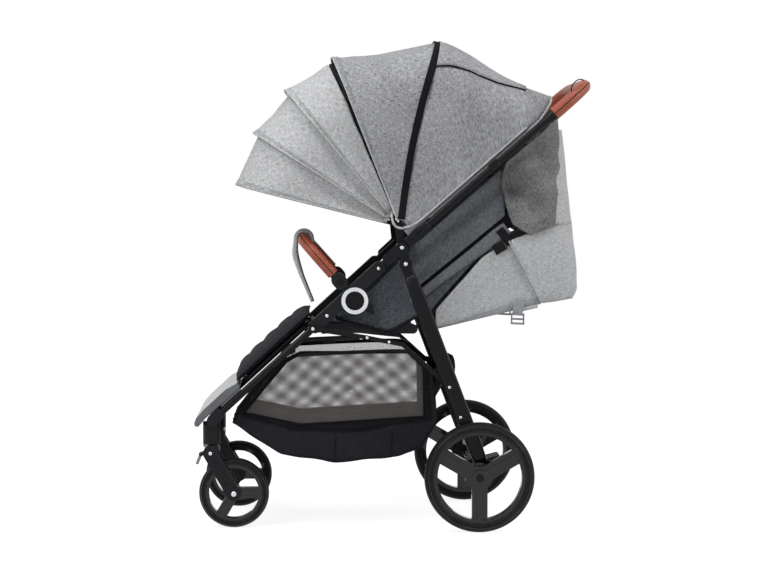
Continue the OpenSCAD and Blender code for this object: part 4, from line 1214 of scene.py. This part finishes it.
# Bumper bar: cloth strap over its middle and a seam in its leather
BUMPER_TILT = 131.5
BUMPER_REACH = 148
bumper_foot = front_at(159, 16)
bumper_top = bumper_foot + turned((BUMPER_REACH, 0), BUMPER_TILT)
loop = [bumper_top + turned((19.2, 0), a) for a in np.linspace(-62, 190, 36)]
hang = curve([loop[-1], *(bumper_top + p for p in ((-21, -36), (-9, -78), (5, -114), (20, -150)))], 30)[1:]
strap_path = np.array([at(p, 0) for p in [*loop, *hang]])
strap_out = np.array([at(p - bumper_top, 0) for p in loop] + [(-0.95, 0, -0.25)] * len(hang))
strap_size = np.interp(np.arange(65), (0, 8, 34, 42, 52, 64), (7, 10, 11, 15, 10, 8))
strap = sweep("bumper_strap", strap_path, [flat_section(44, h, 6) for h in strap_size], bumper_cloth, strap_out)
ride(strap, "bumper", "crotch_strap", slot="strap_cloth")
inner = strap_path - strap_out / np.linalg.norm(strap_out, axis=1, keepdims=True) * (strap_size / 2 - 0.3)[:, None]
ride(sweep("bumper_strap_lining", inner[30:], flat_section(45, 1.4, 6), black_cloth, strap_out[30:]), "bumper")


def bow_line(foot, tilt, reach, half, bend, start, off, face):
    """Line on a bow's skin: face is the direction off its axis, out to the side or up along its plane's normal."""
    lean = turned((1, 0), tilt)
    out = turned((0, face), tilt)
    corner = np.radians(np.linspace(5, 90, 18))
    path = [(-half, r) for r in np.linspace(start, reach - bend, 16)]
    path += [(-half + bend - bend * math.cos(a), reach - bend + bend * math.sin(a)) for a in corner]
    path += [(y, reach) for y in np.linspace(-half + bend, half - bend, 20)[1:]]
    path += [(half - bend + bend * math.sin(a), reach - bend + bend * math.cos(a)) for a in corner]
    path += [(half, r) for r in np.linspace(reach - bend, start, 16)[1:]]
    path = np.array(path)
    side = np.stack([np.gradient(path[:, 1]), -np.gradient(path[:, 0])], 1)
    side /= np.linalg.norm(side, axis=1, keepdims=True)
    path = path - side * off * (1 - abs(face))
    return [at(foot + lean * r + out * off, y) for y, r in path]


for name, foot, tilt, reach, half, bend, start, radius, body in (
        ("handle", FOLD, UPPER_TILT, 568, 223.0, 70, 468, 15.0, "upper_frame"),
        ("bumper", bumper_foot, BUMPER_TILT, BUMPER_REACH, 196.4, 60, 46, 13.5, "bumper")):
    seam = bow_line(foot, tilt, reach, half, bend, start, radius, 0.0)
    ride(sweep(name + "_seam", seam, round_section(0.9, 6), dark_thread, (0.3, 0, 1)), body)
    for k, shift in enumerate((2.6, -2.6)):
        beside = np.array(seam) + np.array(turned_up(tilt)) * shift
        stitches(f"{name}_stitches_{k}", [beside], seam_thread, body, 5.0, 3.4, 0.5)

loop_path = curve([at(upper_at(d, off), y) for d, off, y in (
    (530, 13, -222), (540, 21, -221), (554, 24, -218), (566, 20, -214), (571, 12, -211))], 30)
wrist_loop = ride(sweep("wrist_loop", loop_path, round_section(1.3, 8), black_webbing), "upper_frame")
loop_path = loop_path / 1000
tuple(loop_path[0])
float(np.linalg.norm(np.diff(loop_path, axis=0), axis=1).sum())
[tuple(p) for p in loop_path]
for side, s in SIDES.items():
    clip = [at(upper_at(d, 4), s * 233) for d in (272, 280, 290, 298)]
    ride(sweep("tube_clip_" + side, clip, box_section(16, 4, 1.6), gloss_black), "upper_frame")

# Sleeves at the foot of the handle tubes, screws and rivets
for side, s in SIDES.items():
    sleeve = [at(upper_at(d), s * 223) for d in np.linspace(13, 82, 10)]
    taper = [box_section(18.4, h, 5) for h in (25, 26, 26, 26, 25.4, 24.6, 23.6, 22.4, 21.2, 20)]
    ride(sweep("handle_sleeve_" + side, sleeve, taper, bracket_black, turned_up(UPPER_TILT)), "upper_frame")
leg_top, leg_foot = np.array((28.0, 616.0)), np.array((205.0, 150.0))
rivets("bracket_rivets", [(FOLD, 235.4), (leg_top, 252.4)], steel, "chassis", 4.6)
rivets("housing_screws", [(front_at(72), 209.9), (front_at(234), 209.9), (knee, 219.9)], steel, "chassis", 4.2)
rivets("rear_leg_rivets", [((129, 332), 251.1), ((155, 262), 251.1)], steel, "rear_legs", 3.8)
brace_mid = knee + (125, -20)
rivets("brace_rivets", [(brace_mid, 227.9), (brace_mid + np.array((82, -16)) * 0.62, 227.9)], steel, "brace_rear", 3.6)
for side, s in SIDES.items():
    rivets("front_bolt_" + side, [(FRONT_HUB, 207.6)], steel, "fork_" + side, 6.5, 0.4, (s,))
    rivets("fork_screw_" + side, [((-423, 175.5), 204.6)], steel, "fork_" + side, 4.5, 0.4, (s,))

# Ridges round the wheels, and oval covers on the rear legs
for side, s in SIDES.items():
    for name, centre, y, rings, body in (
            ("rear_wheel_ridge_", REAR_HUB, 290.6, ((117, 1.1), (112.5, 0.7), (108.2, 0.8)), "rear_wheel_"),
            ("rear_rim_ridge_", REAR_HUB, 286.9, ((104.6, 0.8), (98.6, 1.0)), "rear_wheel_"),
            ("front_wheel_ridge_", FRONT_HUB, 194.4, ((75.6, 0.9), (71.8, 0.6), (68.2, 0.7)), "front_wheel_")):
        for k, (radius, size) in enumerate(rings):
            path = [at(np.array(centre) + p, s * y) for p in round_section(radius, 96)]
            ride(sweep(f"{name}{side}_{k}", path, round_section(size, 8), rim_black, ring=True), body + side)
    leg = along_line([at(leg_top + (leg_foot - leg_top) * 0.06, s * 242.6), at(leg_foot, s * 242.6)], 24)
    widths = np.interp(steps(24), (0, 0.05, 0.14, 0.9, 1), (25, 30, 35, 35, 31))
    ride(sweep("rear_leg_cover_" + side, leg, [box_section(w, 14.8, 6, 6) for w in widths], frame_paint), "rear_legs")
for side, s in SIDES.items():
    for k, (x, top) in enumerate(((-136, 214), (-4, 222))):
        low = float(np.interp(x, BASKET_OUT[:6, 0], BASKET_OUT[:6, 1]))
        path = [at((x + (z - low) * 0.06, z), s * (basket_y((x, z)) + 0.9)) for z in np.linspace(low + 1, top, 14)]
        in_basket(sweep(f"basket_panel_seam_{side}_{k}", path, round_section(1.3, 6), black_cloth))

# Stage: pale floor and soft studio light
FLOOR_REACH = 9000
corners = [(x * FLOOR_REACH, y * FLOOR_REACH, 0) for x, y in ((-1, -1), (1, -1), (1, 1), (-1, 1))]
floor_white = bpy.data.materials.new("floor_white")
floor = new_piece("floor", corners, [(0, 1, 2, 3)], floor_white, smooth=False)


def backdrop(block):
    """An empty node tree, and where the background is seen, straight, in a reflection or through a piece."""
    block.use_nodes = True
    block.node_tree.nodes.clear()
    t = Socket(block.node_tree)
    seen = t.node("LightPath", out="Is Camera Ray")
    for way in ("Is Glossy Ray", "Is Transmission Ray"):
        seen = seen.sum("MAXIMUM", seen, t.node("LightPath", out=way))
    return t, seen


def show(t, shader, output):
    t.tree.links.new(shader.link, t.tree.nodes.new(output).inputs[0])


t, seen = backdrop(floor_white)
paper = t.node("BsdfDiffuse", None, {"Color": (0.86, 0.86, 0.87, 1)})
glow = t.node("Emission", None, {"Color": (1, 1, 1, 1), "Strength": 1.5})
show(t, t.node("MixShader", None, {0: seen * 0.58, 1: paper, 2: glow}), "ShaderNodeOutputMaterial")

scene.world = bpy.data.worlds.new("studio")
t, seen = backdrop(scene.world)
height = t.node("TexCoord", out="Generated").part(2)
level = t.node("MapRange", {"interpolation_type": "SMOOTHSTEP"}, {0: height, 1: 0.3, 2: 1.0, 3: 0.08, 4: 0.8})
soft = t.node("Background", None, {"Color": (1, 1, 1, 1), "Strength": level})
white = t.node("Background", None, {"Color": (1, 1, 1, 1), "Strength": 1.0})
show(t, t.node("MixShader", None, {0: seen, 1: soft, 2: white}), "ShaderNodeOutputWorld")
LIT_POINT = Vector((0, 0, 0.75))
for name, place, size, power in (
        ("key", (-1.15, -0.95, 1.55), (0.8, 0.8), 12), ("fill", (-1.8, -3.4, 1.8), (2.0, 2.0), 7),
        ("top", (-0.1, -0.6, 2.3), (2.8, 0.3), 17), ("back", (1.9, -0.8, 1.25), (0.7, 0.9), 12)):
    lamp = bpy.data.lights.new(name, "AREA")
    lamp.shape = "RECTANGLE"
    lamp.size, lamp.size_y = size
    lamp.energy = power
    light = bpy.data.objects.new(name, lamp)
    light.location = place
    light.rotation_euler = (LIT_POINT - Vector(place)).to_track_quat("-Z", "Y").to_euler()
    scene.collection.objects.link(light)
